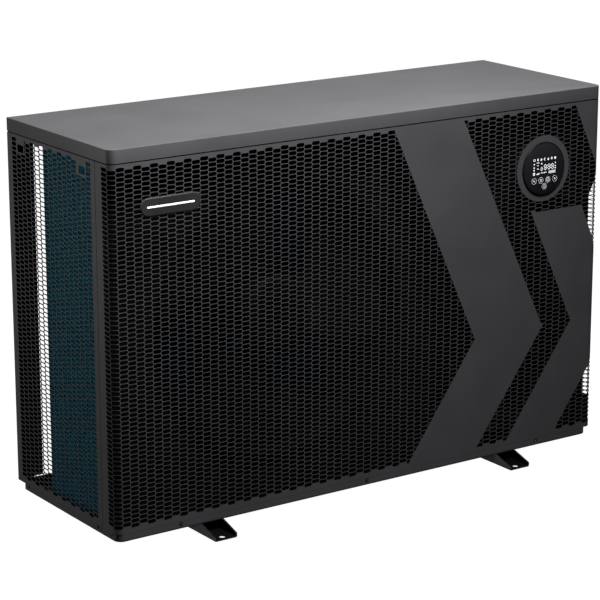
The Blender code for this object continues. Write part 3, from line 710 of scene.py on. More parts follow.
FACE_X = (FACE_LOW.x + FACE_HIGH.x) / 2
FACE_Z = (FACE_LOW.z + FACE_HIGH.z) / 2
FACE_RADIUS = (FACE_HIGH.x - FACE_LOW.x) / 2
NECK_RADIUS = (NECK_HIGH.x - NECK_LOW.x) / 2
BADGE_X = (BADGE_LOW.x + BADGE_HIGH.x) / 2
BADGE_Z = (BADGE_LOW.z + BADGE_HIGH.z) / 2
BADGE_HALF = (BADGE_HIGH.x - BADGE_LOW.x) / 2
BADGE_TALL = (BADGE_HIGH.z - BADGE_LOW.z) / 2


def place_front(along, z):
    """Wraps the developed front sheet round both front corners."""
    r = CORNER_RADIUS
    if along > WIDTH / 2:
        mirrored = place_front(WIDTH - along, z)
        return Vector((WIDTH - mirrored.x, mirrored.y, z))
    if along >= r:
        return Vector((along, 0.0, z))
    turned_by = r - along
    if turned_by <= ARC_LENGTH:
        angle = turned_by / r
        return Vector((r - r * math.sin(angle), r - r * math.cos(angle), z))
    return Vector((0.0, r + turned_by - ARC_LENGTH, z))


def make_front_sheet():
    solids = [
        band((.5452, .6215), (.6927, .6215), (.881, .222), (.728, .223)),
        band((.728, .223), (.881, .222), (.736, .0215), (.586, .0215)),
        band((.850, .433), (.965, .433), (1.0592, .223), (.947, .223)),
        band((.947, .223), (1.0592, .223), (.916, .022), (.804, .022)),
        band((.9425, .6215), (1.060, .6215), (1.060, .367)),
        circle(FACE_X, FACE_Z, 0.059 * UNIT, 40),
        Region(stadium(BADGE_X, BADGE_Z, BADGE_HALF + 0.0012, BADGE_TALL + 0.0012, 8)),
    ]
    openings = [circle(FACE_X, FACE_Z, NECK_RADIUS + 0.0010, 64)]
    end = CORNER_RADIUS - ARC_LENGTH - (WRAP - SEAM_GAP - CORNER_RADIUS)
    low = (end, PANEL_BOTTOM)
    high = (WIDTH - end, PANEL_TOP - FLANGE_SEAM)
    verts, faces = perforated(FRONT_FIRST, FRONT_PITCH, range(-2, 66), low, high, solids, openings, WEB)
    bends = []
    for i in range(8):
        along = CORNER_RADIUS - ARC_LENGTH * i / 7
        bends += [along, WIDTH - along]
    bm = sheet_mesh(verts, faces, bends, place_front)
    # The hole rims and inner side are painted near black as shade.
    piece("front_panel_sheet", bm, PAINT, stands_for=("front_panel",), thickness=SHEET,
          outwards=False, shade_lining=INNER_SHADE_PAINT)


SIDE_SCREW_Y = 0.0665
SIDE_SCREW_Z = 0.6855
LEFT_BEND = 0.0016
REAR_RETURN = 0.0015
LEFT_ARC = LEFT_BEND * math.pi / 2


def place_left(along, z):
    """Wraps the developed left sheet round its rear bend."""
    flat_end = DEPTH - LEFT_BEND
    if along <= flat_end:
        return Vector((0.0, along, z))
    past = along - flat_end
    if past <= LEFT_ARC:
        angle = past / LEFT_BEND
        return Vector((LEFT_BEND - LEFT_BEND * math.cos(angle), flat_end + LEFT_BEND * math.sin(angle), z))
    return Vector((LEFT_BEND + past - LEFT_ARC, DEPTH, z))


def make_left_sheet():
    top = PANEL_TOP - FLANGE_SEAM
    solids = [
        Region(rectangle((0.0790, 0.6695), (0.1150, top))),
        Region(rectangle((0.3030, 0.6705), (0.3325, top))),
        Region(arc((SIDE_SCREW_Y, SIDE_SCREW_Z), 0.0046, 0, 337.5, 15)),
    ]
    openings = [Region(rectangle((y - 0.0110, 0.6732), (y + 0.0110, 0.6870))) for y in (0.0933, 0.3175)]
    end = DEPTH - LEFT_BEND + LEFT_ARC + (LEFT_HIGH.x - LEFT_BEND) + REAR_RETURN
    verts, faces = perforated(SIDE_FIRST, SIDE_PITCH, range(17), (SEAM + SEAM_GAP, PANEL_BOTTOM), (end, top),
                              solids, openings, SIDE_WEB)
    bends = [DEPTH - LEFT_BEND + LEFT_ARC * i / 3 for i in range(4)]
    bm = sheet_mesh(verts, faces, bends, place_left)
    bmesh.ops.reverse_faces(bm, faces=bm.faces)
    # The hole rims and inner side are painted near black as shade.
    piece("left_panel_sheet", bm, PAINT, stands_for=("left_panel",), thickness=SHEET,
          outwards=False, shade_lining=INNER_SHADE_PAINT)


# ---------------------------------------------------------------- plain sheet metal


def plate(bm, outline, holes, low, high, axis):
    """A flat plate between two levels, with holes through it."""
    loops = [[Vector((a, b, 0.0)) for a, b in loop] for loop in [outline] + holes]
    triangles = tessellate_polygon(loops)
    sides = []
    for level in (low, high):
        made = [bm.verts.new(along_axis(axis, level, p.x, p.y)) for loop in loops for p in loop]
        for triangle in triangles:
            bm.faces.new([made[i] for i in triangle])
        sides.append(made)
    base = 0
    for loop in loops:
        end = base + len(loop)
        ring_faces(bm, sides[0][base:end], sides[1][base:end])
        base = end


def rectangle(low, high):
    return [(low[0], low[1]), (high[0], low[1]), (high[0], high[1]), (low[0], high[1])]


def round_rectangle(low, high, radius, steps):
    points = arc((low[0] + radius, low[1] + radius), radius, 180, 270, steps)
    points += arc((high[0] - radius, low[1] + radius), radius, 270, 360, steps)
    points += arc((high[0] - radius, high[1] - radius), radius, 0, 90, steps)
    points += arc((low[0] + radius, high[1] - radius), radius, 90, 180, steps)
    return points


def ring_points(x, z, radius, steps):
    return arc((x, z), radius, 0, 360 - 360 / steps, steps - 1)


def lofted(bm, outlines):
    """Joins plan outlines, given as (points, z), into a shell that is open at its first outline."""
    loops = [[bm.verts.new((x, y, z)) for x, y in points] for points, z in outlines]
    for one, two in zip(loops, loops[1:]):
        ring_faces(bm, one, two)
    bm.faces.new(loops[-1])
    return loops


def lid_plan(inset):
    front = CORNER_RADIUS - inset
    rear = 0.0015 - min(inset, 0.0007)
    points = arc((CORNER_RADIUS, CORNER_RADIUS), front, 180, 270, 10)
    points += arc((WIDTH - CORNER_RADIUS, CORNER_RADIUS), front, 270, 360, 10)
    points += arc((WIDTH - inset - rear, DEPTH - inset - rear), rear, 0, 90, 3)
    points += arc((inset + rear, DEPTH - inset - rear), rear, 90, 180, 3)
    return points


def make_lid():
    bm = bmesh.new()
    levels = [(0.0, LID_FLANGE_Z + 0.0006), (0.0, HEIGHT - 0.0008), (0.0001, HEIGHT - 0.0004),
              (0.0004, HEIGHT - 0.0001), (0.0008, HEIGHT)]
    lofted(bm, [(lid_plan(inset), z) for inset, z in levels])
    # The lid's underside and edges are painted near black as shade.
    piece("lid_shell", bm, PAINT, stands_for=("lid",), thickness=SHEET, angle=40,
          shade_lining=INNER_SHADE_PAINT)


GASKET_LAP = 0.0060


def make_lid_gasket():
    """A black foam strip inside the seam between the lid's flange and the panels."""
    bm = bmesh.new()
    outer, inner = (lid_plan(SHEET + inset) for inset in (0.0003, 0.0023))
    low = PANEL_TOP - GASKET_LAP
    high = LID_FLANGE_Z + GASKET_LAP
    section = ((outer, low), (outer, high), (inner, high), (inner, low))
    skin_round(bm, [[bm.verts.new((x, y, z)) for x, y in outline] for outline, z in section])
    piece("lid_gasket", bm, RUBBER)


def make_foot_seals():
    """Black strips that close the pan's edge behind it and beside it."""
    bm = bmesh.new()
    low = PANEL_BOTTOM + 0.0001
    high = PANEL_BOTTOM + 0.0010
    behind = PAN_HIGH.y + GAP
    beside = PAN_HIGH.x - 0.0040
    inner = SHEET + GAP
    for left, right in ((LEFT_LOW.x + inner, 0.0320), (0.1000, 0.7510), (0.7550, WIDTH - inner)):
        prism(bm, rectangle((left, behind), (right, DEPTH - inner)), low, high, "Z")
    prism(bm, rectangle((beside, 0.0100), (WIDTH - 0.0030, SEAM - GAP)), low, high, "Z")
    gusset = rectangle((WIDTH - 0.0065, 0.0085), (WIDTH - 0.0036, SEAM - GAP))
    prism(bm, gusset, high + GAP, PAN_Z + 0.0780, "Z")
    piece("foot_seals", bm, RUBBER)


PAN_HEM = 0.0042
SLOT_START = 208
SLOT_END = 222


def pan_plan(inset):
    left = PAN_LOW.x + inset
    right = PAN_HIGH.x + PAN_HEM - inset
    front = PAN_LOW.y + inset
    rear = PAN_HIGH.y - inset
    wide = 0.015 - inset
    r = 0.006 - min(inset, 0.003)
    step = PAN_HIGH.y - 0.012
    points = []
    for angle in (180, 192, 204, SLOT_START, SLOT_END, 234, 246, 258, 270):
        turn = math.radians(angle)
        points.append((left + wide + wide * math.cos(turn), front + wide + wide * math.sin(turn)))
    points += arc((right - wide, front + wide), wide, 270, 360, 8)
    points += [(right, step - 0.002), (right, step)]
    points += arc((right - r, rear - r), r, 0, 90, 4)
    points += arc((left + r, rear - r), r, 90, 180, 4)
    points += [(left, step), (left, step - 0.002)]
    return points


def make_pan():
    """The pan, with a bend radius at its foot and an open relief slot at the front left corner."""
    bm = bmesh.new()
    rear = PAN_HIGH.y - 0.013
    top = PANEL_BOTTOM - GAP
    levels = ((0.0, top), (0.0, PAN_Z + 0.0045), (0.0, PAN_Z + 0.0015), (0.0004, PAN_Z + 0.0005),
              (0.0015, PAN_Z))
    loops = lofted(bm, [(pan_plan(inset), z) for inset, z in levels])
    for v in loops[0]:
        if v.co.y > rear:
            v.co.z = PAN_HIGH.z
    slot_face = [f for f in bm.faces if {loops[0][3], loops[0][4], loops[1][3], loops[1][4]} == set(f.verts)]
    bmesh.ops.delete(bm, geom=slot_face, context="FACES")
    # The pan's inner side is painted near black as shade.
    piece("base_pan_shell", bm, PAINT, stands_for=("base_pan",), thickness=SHEET, angle=40,
          shade_lining=INNER_SHADE_PAINT)


WATER_HOLE_RADIUS = 0.0275
WIRING_OPENING = ((0.100, 0.550), (0.210, 0.630))


def make_right_sheet():
    bm = bmesh.new()
    holes = []
    for water in ("inlet", "outlet"):
        low, high = node_box(f"{water}_union_tail")
        place = (low + high) / 2
        holes.append(ring_points(place.y, place.z, WATER_HOLE_RADIUS, 48))
    holes.append(rectangle(*WIRING_OPENING))
    outline = rectangle((RIGHT_LOW.y, RIGHT_LOW.z), (RIGHT_HIGH.y, RIGHT_HIGH.z - FLANGE_SEAM))
    plate(bm, outline, holes, WIDTH - SHEET, WIDTH, "X")
    low = (RIGHT_LOW.x, RIGHT_LOW.y, RIGHT_LOW.z)
    prism(bm, rectangle(low[:2], (WIDTH - SHEET - 0.00002, RIGHT_HIGH.y)), low[2], low[2] + SHEET, "Z")
    right = piece("right_panel_sheet", bm, PAINT, stands_for=("right_panel",))
    # The panel's inner face is painted near black as shade.
    paint_shade_inside(right, Vector((-1.0, 0.0, 0.0)))


def paint_shade_inside(obj, inwards):
    """Gives the faces that look inwards or upwards the near-black inner paint, as painted shade."""
    obj.data.materials.append(INNER_SHADE_PAINT)
    for face in obj.data.polygons:
        if face.normal.dot(inwards) > 0.5 or face.normal.z > 0.5:
            face.material_index = 1


BULKHEAD_HOLE_RADIUS = 0.2665
FINE_TURN = 96


def make_bulkhead():
    bm = bmesh.new()
    outline = rectangle((BULKHEAD_LOW.x, BULKHEAD_LOW.z), (BULKHEAD_HIGH.x, BULKHEAD_HIGH.z))
    hole = ring_points(FAN_X, FAN_Z, BULKHEAD_HOLE_RADIUS, FINE_TURN)
    plate(bm, outline, [hole], BULKHEAD_LOW.y, BULKHEAD_HIGH.y, "Y")
    # The bulkhead is painted near black as shade.
    piece("fan_bulkhead_sheet", bm, INNER_SHADE_PAINT, stands_for=("fan_bulkhead",))
    bm = bmesh.new()
    profile = [(0.2620, RING_LOW.y), (0.2645, RING_LOW.y), (0.2645, 0.1140), (0.2660, 0.1200),
               (0.2695, 0.1260), (0.2745, 0.1295), (0.2740, RING_HIGH.y), (0.2685, 0.1290),
               (0.2645, 0.1225), (0.2625, 0.1150)]
    closed_turned(bm, profile, FINE_TURN, (FAN_X, 0.0, FAN_Z), "Y")
    # The bell mouth is near-black painted shade.
    piece("fan_bell_mouth", bm, SHADE_BLACK_PLASTIC, stands_for=("fan_ring",))


RAIL_SHEET = 0.002
RAIL_BEND = 0.003
RAIL_TIP_HEIGHT = 0.0085
ANCHOR_REACH = 0.030
ANCHOR_RADIUS = 0.006


def make_rails():
    for side in ("left", "right"):
        low, high = node_box(f"foot_rail_{side}")
        middle = (low.x + high.x) / 2
        half = (high.x - low.x) / 2
        bend = RAIL_BEND
        inner_bend = RAIL_BEND - RAIL_SHEET
        near_tip = RAIL_TIP_HEIGHT + 0.0005
        stations = [(low.y, RAIL_TIP_HEIGHT), (low.y + 0.0015, near_tip), (0.0, high.z), (DEPTH, high.z),
                    (high.y - 0.0015, near_tip), (high.y, RAIL_TIP_HEIGHT)]
        bm = bmesh.new()
        rows = []
        for y, top in stations:
            outer = [(-half, top)] + arc((bend - half, bend), bend, 180, 270, 4)
            outer += arc((half - bend, bend), bend, 270, 360, 4) + [(half, top)]
            inner = [(half - RAIL_SHEET, top)] + arc((half - bend, bend), inner_bend, 0, -90, 4)
            inner += arc((bend - half, bend), inner_bend, 270, 180, 4) + [(RAIL_SHEET - half, top)]
            rows.append([bm.verts.new((middle + x, y, z)) for x, z in outer + inner])
        skin(bm, rows)
        rail = piece(f"foot_rail_channel_{side}", bm, PAINT,
                     stands_for=(f"foot_rail_{side}",))
        drill_anchor_holes(rail, middle, ANCHOR_RADIUS)
        # The channel's floor and top edges are painted near black as shade, which also removes their
        # highlight.
        paint_shade_inside(rail, Vector((0.0, 0.0, 1.0)))
        make_rail_shade_liner(side, middle, half - RAIL_SHEET, stations)


def drill_anchor_holes(obj, middle, radius):
    drill = bmesh.new()
    profile = [(0.0, -0.01), (radius, -0.01), (radius, 0.012), (0.0, 0.012)]
    for y in (-ANCHOR_REACH, DEPTH + ANCHOR_REACH):
        closed_turned(drill, profile, 32, (middle, y, 0.0), "Z")
    cut_away(obj, drill)


def cut_away(obj, cutter_mesh):
    """Takes a cutter's shape out of a piece, and removes the cutter."""
    bmesh.ops.recalc_face_normals(cutter_mesh, faces=cutter_mesh.faces)
    mesh = bpy.data.meshes.new("cutter")
    cutter_mesh.to_mesh(mesh)
    cutter_mesh.free()
    mesh.transform(Matrix.Translation(CORNER))
    cutter = bpy.data.objects.new("cutter", mesh)
    scene.collection.objects.link(cutter)
    modifier = obj.modifiers.new("cut", "BOOLEAN")
    modifier.solver = "EXACT"
    modifier.object = cutter
    bpy.context.view_layer.update()
    settle(obj, 30)
    bpy.data.objects.remove(cutter)


def make_rail_shade_liner(side, middle, half, stations):
    """A thin black liner in the channel, so that its inside is black: a dark sheet that stands in for the
    channel's shade.
    """
    thick = 0.0007
    gap = 0.00015
    half -= gap
    bm = bmesh.new()
    rows = []
    for y, top in stations:
        y = min(max(y, stations[0][0] + 0.0008), stations[-1][0] - 0.0008)
        top -= 0.0008
        base = RAIL_SHEET + gap
        section = [(-half, top), (-half, base + 0.0010), (-half + 0.0010, base), (half - 0.0010, base),
                   (half, base + 0.0010), (half, top), (half - thick, top), (half - thick, base + 0.0013),
                   (half - 0.0013, base + thick), (0.0013 - half, base + thick),
                   (thick - half, base + 0.0013), (thick - half, top)]
        rows.append([bm.verts.new((middle + x, y, z)) for x, z in section])
    skin(bm, rows)
    # The liner is near-black painted shade.
    shade_lining = piece(f"foot_rail_shade_liner_{side}", bm, SHADE_BLACK_PLASTIC)
    drill_anchor_holes(shade_lining, middle, 0.0078)


# ---------------------------------------------------------------- coil

COIL_BEND = 0.084
COIL_DEPTH = 0.044
FIN_PITCH = 0.0019
FIN_THICKNESS = 0.00016
FIN_FOLDS = 5
FIN_WAVE = 0.0020
FIN_WOBBLE = 0.00012
TUBE_PITCH = 0.021
TUBE_RADIUS = 0.0046
TUBE_DEPTHS = (0.011, 0.033)


COIL_STRAIGHT = (COIL_HIGH.y - COIL_BEND) - COIL_LOW.y
COIL_MIDDLE = COIL_BEND - COIL_DEPTH / 2
COIL_TURN = COIL_MIDDLE * math.pi / 2
COIL_LENGTH = COIL_STRAIGHT + COIL_TURN + COIL_HIGH.x - COIL_LOW.x - COIL_BEND


def coil_point(along, depth):
    """The plan point and outward direction at a distance along the coil, measured at its middle."""
    centre = Vector((COIL_LOW.x + COIL_BEND, COIL_HIGH.y - COIL_BEND))
    if along < COIL_STRAIGHT:
        outward = Vector((-1.0, 0.0))
        return Vector((COIL_LOW.x, COIL_LOW.y + along)) - outward * depth, outward
    if along < COIL_STRAIGHT + COIL_TURN:
        angle = math.pi - (along - COIL_STRAIGHT) / COIL_MIDDLE
        outward = Vector((math.cos(angle), math.sin(angle)))
        return centre + outward * (COIL_BEND - depth), outward
    outward = Vector((0.0, 1.0))
    start = Vector((centre.x + along - COIL_STRAIGHT - COIL_TURN, COIL_HIGH.y))
    return start - outward * depth, outward


def make_coil():
    bm = bmesh.new()
    count = int((COIL_LENGTH - 0.004) / FIN_PITCH)
    wobble = random.Random(4)
    for i in range(count):
        along = 0.002 + i * FIN_PITCH + wobble.uniform(-FIN_WOBBLE, FIN_WOBBLE)
        rows = []
        for fold in range(FIN_FOLDS + 1):
            point, outward = coil_point(along, COIL_DEPTH * fold / FIN_FOLDS)
            side = Vector((-outward.y, outward.x))
            point += side * (FIN_WAVE * (0.5 if fold % 2 else -0.5))
            across = side * (FIN_THICKNESS / 2)
            corners = [(*(point - across), COIL_LOW.z), (*(point + across), COIL_LOW.z),
                       (*(point + across), COIL_HIGH.z), (*(point - across), COIL_HIGH.z)]
            rows.append([bm.verts.new(corner) for corner in corners])
        skin(bm, rows)
    piece("coil_fin_pack", bm, FIN, stands_for=("evaporator_fins",))

    bm = bmesh.new()
    stops = [0.0, COIL_STRAIGHT] + [COIL_STRAIGHT + COIL_TURN * (i + 1) / 8 for i in range(8)]
    stops.append(COIL_LENGTH - 0.0005)
    rows = int((COIL_HIGH.z - COIL_LOW.z - 0.02) / TUBE_PITCH)
    for bank, depth in enumerate(TUBE_DEPTHS):
        for row in range(rows):
            z = COIL_LOW.z + 0.012 + (row + bank * 0.5) * TUBE_PITCH
            points = []
            for stop in stops:
                point, outward = coil_point(stop, depth)
                points.append((point.x, point.y, z))
            tube(bm, points, TUBE_RADIUS, 8)
    piece("coil_tube_collars", bm, FIN)

    bm = bmesh.new()
    low = (SHEET + 0.0006, COIL_LOW.z)
    high = (COIL_LOW.x + COIL_DEPTH, COIL_HIGH.z)
    front = COIL_LOW.y - 0.0014
    plate(bm, rectangle(low, high), [], front, COIL_LOW.y - 0.0002, "Y")
    flange = rectangle((high[0] + 0.0001, front), (high[0] + FIN_WAVE, COIL_LOW.y + 0.040))
    prism(bm, flange, low[1], high[1], "Z")
    # The coil's front plate is painted near black as shade.
    piece("coil_front_plate", bm, INNER_SHADE_PAINT)


# ---------------------------------------------------------------- fan

FAN_TIP_RADIUS = 0.254
FAN_HUB_RADIUS = 0.072
HUB_WALL = 0.003


FAN_MIDDLE_Y = 0.091
BLADES = 3
BLADE_ROWS = 16
BLADE_STEPS = 18
RIBS = 6


def blade_point(turn, s, t, side):
    """A place on a blade: s runs from root to tip, t across it, and side is -1 or 1."""
    root = FAN_HUB_RADIUS - HUB_WALL / 2
    radius = root + (FAN_TIP_RADIUS - root) * s
    span = math.radians(60 + 24 * s)
    sweep = math.radians(26) * s ** 1.4
    angle = turn + sweep + span * (t - 0.5)
    pitch = (t - 0.5) * (0.040 - 0.006 * s)
    camber = 0.006 * math.sin(math.pi * t)
    edge = min(t, 1 - t, 0.5)
    thick = 0.0011 + 0.0019 * min(1.0, edge / 0.15) * (1.1 - 0.4 * s)
    y = FAN_MIDDLE_Y + pitch + camber + side * thick / 2
    return (FAN_X + radius * math.cos(angle), y, FAN_Z + radius * math.sin(angle))


def make_fan():
    bm = bmesh.new()
    for number in range(BLADES):
        turn = 2 * math.pi * number / BLADES
        sides = []
        for side in (-1, 1):
            sides.append([[bm.verts.new(blade_point(turn, i / BLADE_ROWS, j / BLADE_STEPS, side))
                           for j in range(BLADE_STEPS + 1)] for i in range(BLADE_ROWS + 1)])
        for grid in sides:
            for upper, lower in zip(grid, grid[1:]):
                for j in range(BLADE_STEPS):
                    bm.faces.new((upper[j], upper[j + 1], lower[j + 1], lower[j]))
        loops = []
        for grid in sides:
            right = [row[-1] for row in grid[1:-1]]
            left = [row[0] for row in grid[-2:0:-1]]
            loops.append(grid[0] + right + grid[-1][::-1] + left)
        ring_faces(bm, *loops)
    bmesh.ops.recalc_face_normals(bm, faces=bm.faces)
    hub = [(0.0063, 0.0620), (0.030, 0.0620), (0.0340, 0.0612), (0.0380, 0.0620), (0.0600, 0.0622),
           (0.0660, 0.0634), (0.0700, 0.0664), (0.0720, 0.0710), (0.0720, 0.1180), (0.0690, 0.1180),
           (0.0690, 0.0720), (0.0150, 0.0670), (0.0150, 0.1100), (0.0063, 0.1100)]
    closed_turned(bm, hub, 72, (FAN_X, 0.0, FAN_Z), "Y")
    for i in range(RIBS):
        add_rib(bm, math.pi * i / 3 + 0.2, 0.0155, 0.0685)
    # The fan is near-black painted shade.
    piece("fan_moulding", bm, SHADE_BLACK_PLASTIC, body="fan_rotor", stands_for=("fan",))


def add_rib(bm, angle, inner, outer):
    """A stiffening rib between the hub's boss and its rim."""
    along = Vector((math.cos(angle), 0.0, math.sin(angle)))
    across = Vector((-math.sin(angle), 0.0, math.cos(angle))) * 0.0010
    centre = Vector((FAN_X, 0.0, FAN_Z))
    loops = []
    for y in (0.0725, 0.1000):
        loop = []
        for radius, side in ((inner, -1), (outer, -1), (outer, 1), (inner, 1)):
            co = centre + along * radius + across * side
            co.y = y
            loop.append(bm.verts.new(co))
        loops.append(loop)
    skin(bm, loops)


# ---------------------------------------------------------------- screws

SCREW_RADIUS = 0.0034
HEAD_SEGMENTS = 32
PAN_SCREWS_X = (0.1334, 0.5459, 0.9600)
PAN_SCREWS_Y = (0.0227, 0.0706, 0.3289)
PAN_SCREWS_RISE = 0.0105
LID_SCREWS_X = (0.08, 0.55, 1.02)
LID_SCREWS_DROP = 0.0125


def head_rows(bm, centre, outward, radius, rings, scale=1.0, twist=0.0, recess=0.0):
    """Rings of vertices round an outward axis, from (share of the radius, height), with a cross recess."""
    outward = Vector(outward)
    u = outward.orthogonal().normalized()
    v = outward.cross(u)
    rows = []
    for share, height in rings:
        row = []
        for i in range(HEAD_SEGMENTS):
            angle = 2 * math.pi * i / HEAD_SEGMENTS
            in_cross = share <= 0.60 and abs(math.sin(2 * angle)) * share < 0.22
            sunk = recess if in_cross else 0.0
            spoke = u * math.cos(angle + twist) + v * math.sin(angle + twist)
            place = Vector(centre) + outward * (scale * (height - sunk)) + spoke * (radius * share)
            row.append(bm.verts.new(place))
        rows.append(row)
    return rows


def add_screw(bm, washers, centre, outward, twist):
    """A small pan-head screw with a cross recess, standing in a black washer."""
    rings = [(1.0, 0.0), (1.0, 0.0006), (0.92, 0.0009), (0.46, 0.0009), (0.46, 0.0)]
    skin_round(washers, head_rows(washers, centre, outward, SCREW_RADIUS, rings))
    radius = SCREW_RADIUS * 0.42
    rings = [(0.0, 0.72), (0.16, 0.72), (0.30, 0.72), (0.46, 0.71), (0.62, 0.69), (0.78, 0.64), (0.92, 0.53),
             (1.0, 0.36), (1.0, 0.0)]
    rows = head_rows(bm, centre, outward, radius, rings, radius, twist, 0.36)
    for one, two in zip(rows, rows[1:]):
        ring_faces(bm, one, two)
    bm.faces.new(rows[-1])
    bmesh.ops.remove_doubles(bm, verts=rows[0], dist=1e-6)


def make_screws():
    rear = node_box("rear_panel")
    rim = PAN_Z + PAN_SCREWS_RISE
    places = [((x, PAN_LOW.y, rim), (0, -1, 0)) for x in PAN_SCREWS_X]
    places += [((PAN_LOW.x, y, rim), (-1, 0, 0)) for y in PAN_SCREWS_Y]
    places += [((0.0, SIDE_SCREW_Y, SIDE_SCREW_Z), (-1, 0, 0))]
    places += [((PAN_HIGH.x, y, rim), (1, 0, 0)) for y in PAN_SCREWS_Y]
    places += [((WIDTH, y, SIDE_SCREW_Z), (1, 0, 0)) for y in (SIDE_SCREW_Y, 0.330)]
    for x in (rear[0].x + 0.014, rear[1].x - 0.014):
        for z in (PANEL_BOTTOM + 0.030, (PANEL_BOTTOM + PANEL_TOP) / 2, PANEL_TOP - 0.020):
            places.append(((x, DEPTH, z), (0, 1, 0)))
    places += [((0.030, DEPTH, z), (0, 1, 0)) for z in (PANEL_BOTTOM + 0.030, PANEL_TOP - 0.020)]
    places += [((x, DEPTH, HEIGHT - LID_SCREWS_DROP), (0, 1, 0)) for x in LID_SCREWS_X]
    twist = random.Random(11)
    heads = bmesh.new()
    washers = bmesh.new()
    for centre, outward in places:
        add_screw(heads, washers, centre, outward, twist.uniform(0, 1.5))
    piece("case_screws", heads, ZINC, angle=25)
    piece("screw_washers", washers, RUBBER)


# ---------------------------------------------------------------- controller and badge


def printed(bm, outline):
    """A thin printed shape standing just proud of the controller's glass."""
    prism(bm, outline, FACE_LOW.y - 0.00012, FACE_LOW.y + 0.00002, "Y")


def bar(bm, x, z, width, height, lean=0.0):
    w = width / 2
    h = height / 2
    printed(bm, [(x - w - lean, z - h), (x + w - lean, z - h), (x + w + lean, z + h), (x - w + lean, z + h)])


def dot(bm, x, z, radius):
    printed(bm, ring_points(x, z, radius, 16))


def hoop(bm, x, z, radius, width, start, end, steps):
    """A printed arc of a circle."""
    outer = arc((x, z), radius + width / 2, start, end, steps)
    inner = arc((x, z), radius - width / 2, start, end, steps)
    for i in range(steps):
        printed(bm, [outer[i], outer[i + 1], inner[i + 1], inner[i]])


def spoke_through(bm, x, z, turn, length, width):
    """A printed stroke through a point, at an angle, that reaches a length to each side."""
    reach = Vector((math.cos(turn), math.sin(turn))) * length
    a = Vector((x - reach.x, z - reach.y))
    b = Vector((x + reach.x, z + reach.y))
    side = Vector((a.y - b.y, b.x - a.x)).normalized() * (width / 2)
    printed(bm, [tuple(a + side), tuple(b + side), tuple(b - side), tuple(a - side)])


SEGMENTS = {"top": (0, 1), "mid": (0, 0), "low": (0, -1), "tl": (-1, 0.5), "tr": (1, 0.5), "bl": (-1, -0.5),
            "br": (1, -0.5)}


def digit(bm, x, z, width, height, thick):
    """All seven segments of a display digit."""
    for name, (sx, sz) in SEGMENTS.items():
        cx = x + sx * width / 2
        cz = z + sz * height / 2
        if name in ("top", "mid", "low"):
            bar(bm, cx, cz, width - thick * 1.3, thick)
        else:
            bar(bm, cx, cz, thick, height / 2 - thick * 1.3)


def make_controller():
    centre = (FACE_X, 0.0, FACE_Z)
    front = FACE_LOW.y
    back = FACE_HIGH.y
    r = FACE_RADIUS
    bm = bmesh.new()
    rim = [(r - 0.0022, back), (r, back), (r, front + 0.0016), (r - 0.0002, front + 0.0009),
           (r - 0.0007, front + 0.0003), (r - 0.0014, front), (r - 0.0020, front + 0.0001),
           (r - 0.0022, front + 0.0005)]
    closed_turned(bm, rim, FINE_TURN, centre, "Y")
    piece("controller_bezel", bm, BEZEL)
    bm = bmesh.new()
    glass_edge = r - 0.0024
    glass = [(0.0, back), (glass_edge, back), (glass_edge, front + 0.0006),
             (glass_edge - 0.0002, front + 0.0002), (glass_edge - 0.0006, front), (0.0, front)]
    turned(bm, glass, FINE_TURN, centre, "Y")
    piece("controller_glass", bm, GLOSS, stands_for=("controller_face",))

    bm = bmesh.new()
    pane = rectangle((FACE_X - 0.0285, FACE_Z - 0.0125), (FACE_X + 0.0310, FACE_Z + 0.0225))
    prism(bm, pane, front - 0.00008, front + 0.00003, "Y")
    piece("controller_display", bm, PANE)
    make_display()
    make_keys()


def make_display():
    """Generic symbols, a temperature and bars on the controller's display."""
    bm = bmesh.new()
    icons = FACE_Z + 0.0187
    xs = [FACE_X - 0.0247 + 0.00863 * i for i in range(7)]
    hoop(bm, xs[0], icons, 0.0019, 0.0011, 0, 360, 14)
    for place, spokes in ((1, 4), (2, 3)):
        for spoke in range(spokes):
            spoke_through(bm, xs[place], icons, math.pi * spoke / spokes, 0.0024, 0.0010)
    hoop(bm, xs[3], icons, 0.0019, 0.0012, 40, 320, 14)
    printed(bm, [(xs[4] - 0.0022, icons - 0.0026), (xs[4] + 0.0022, icons - 0.0026), (xs[4], icons + 0.0028)])
    bar(bm, xs[5], icons, 0.0042, 0.0016)
    bar(bm, xs[5], icons, 0.0016, 0.0052)
    dot(bm, xs[6], icons, 0.0025)
    for z, width in ((0.0107, 0.0026), (0.0042, 0.0026), (-0.0009, 0.0030), (-0.0068, 0.0052),
                     (-0.0100, 0.0040)):
        bar(bm, FACE_X - 0.0250, FACE_Z + z, width, 0.0024)
    for z, width in ((0.0130, 0.0064), (0.0075, 0.0036), (0.0010, 0.0050)):
        bar(bm, FACE_X - 0.0157, FACE_Z + z, width, 0.0013)
    digit(bm, FACE_X - 0.0063, FACE_Z + 0.0002, 0.0042, 0.0064, 0.0011)
    for x, z in ((0.0030, 0.0027), (0.0121, 0.0030), (0.0206, 0.0027)):
        digit(bm, FACE_X + x, FACE_Z + z, 0.0054, 0.0094, 0.0015)
    for z in (0.0090, 0.0027, -0.0016):
        dot(bm, FACE_X + 0.0279, FACE_Z + z, 0.0013)
    dot(bm, FACE_X - 0.0063, FACE_Z + 0.0105, 0.0015)
    bar(bm, FACE_X - 0.0149, FACE_Z - 0.0088, 0.0070, 0.0024, 0.0012)
    for x in (-0.0061, -0.0026, 0.0009, 0.0044):
        bar(bm, FACE_X + x, FACE_Z - 0.0075, 0.0018, 0.0026)
    piece("controller_segments", bm, WHITE_INK_PAINTED_GLOW)
    bm = bmesh.new()
    bar(bm, FACE_X + 0.0200, FACE_Z - 0.0078, 0.0170, 0.0056)
    piece("controller_level_bar", bm, GREY_INK_PAINTED_GLOW)


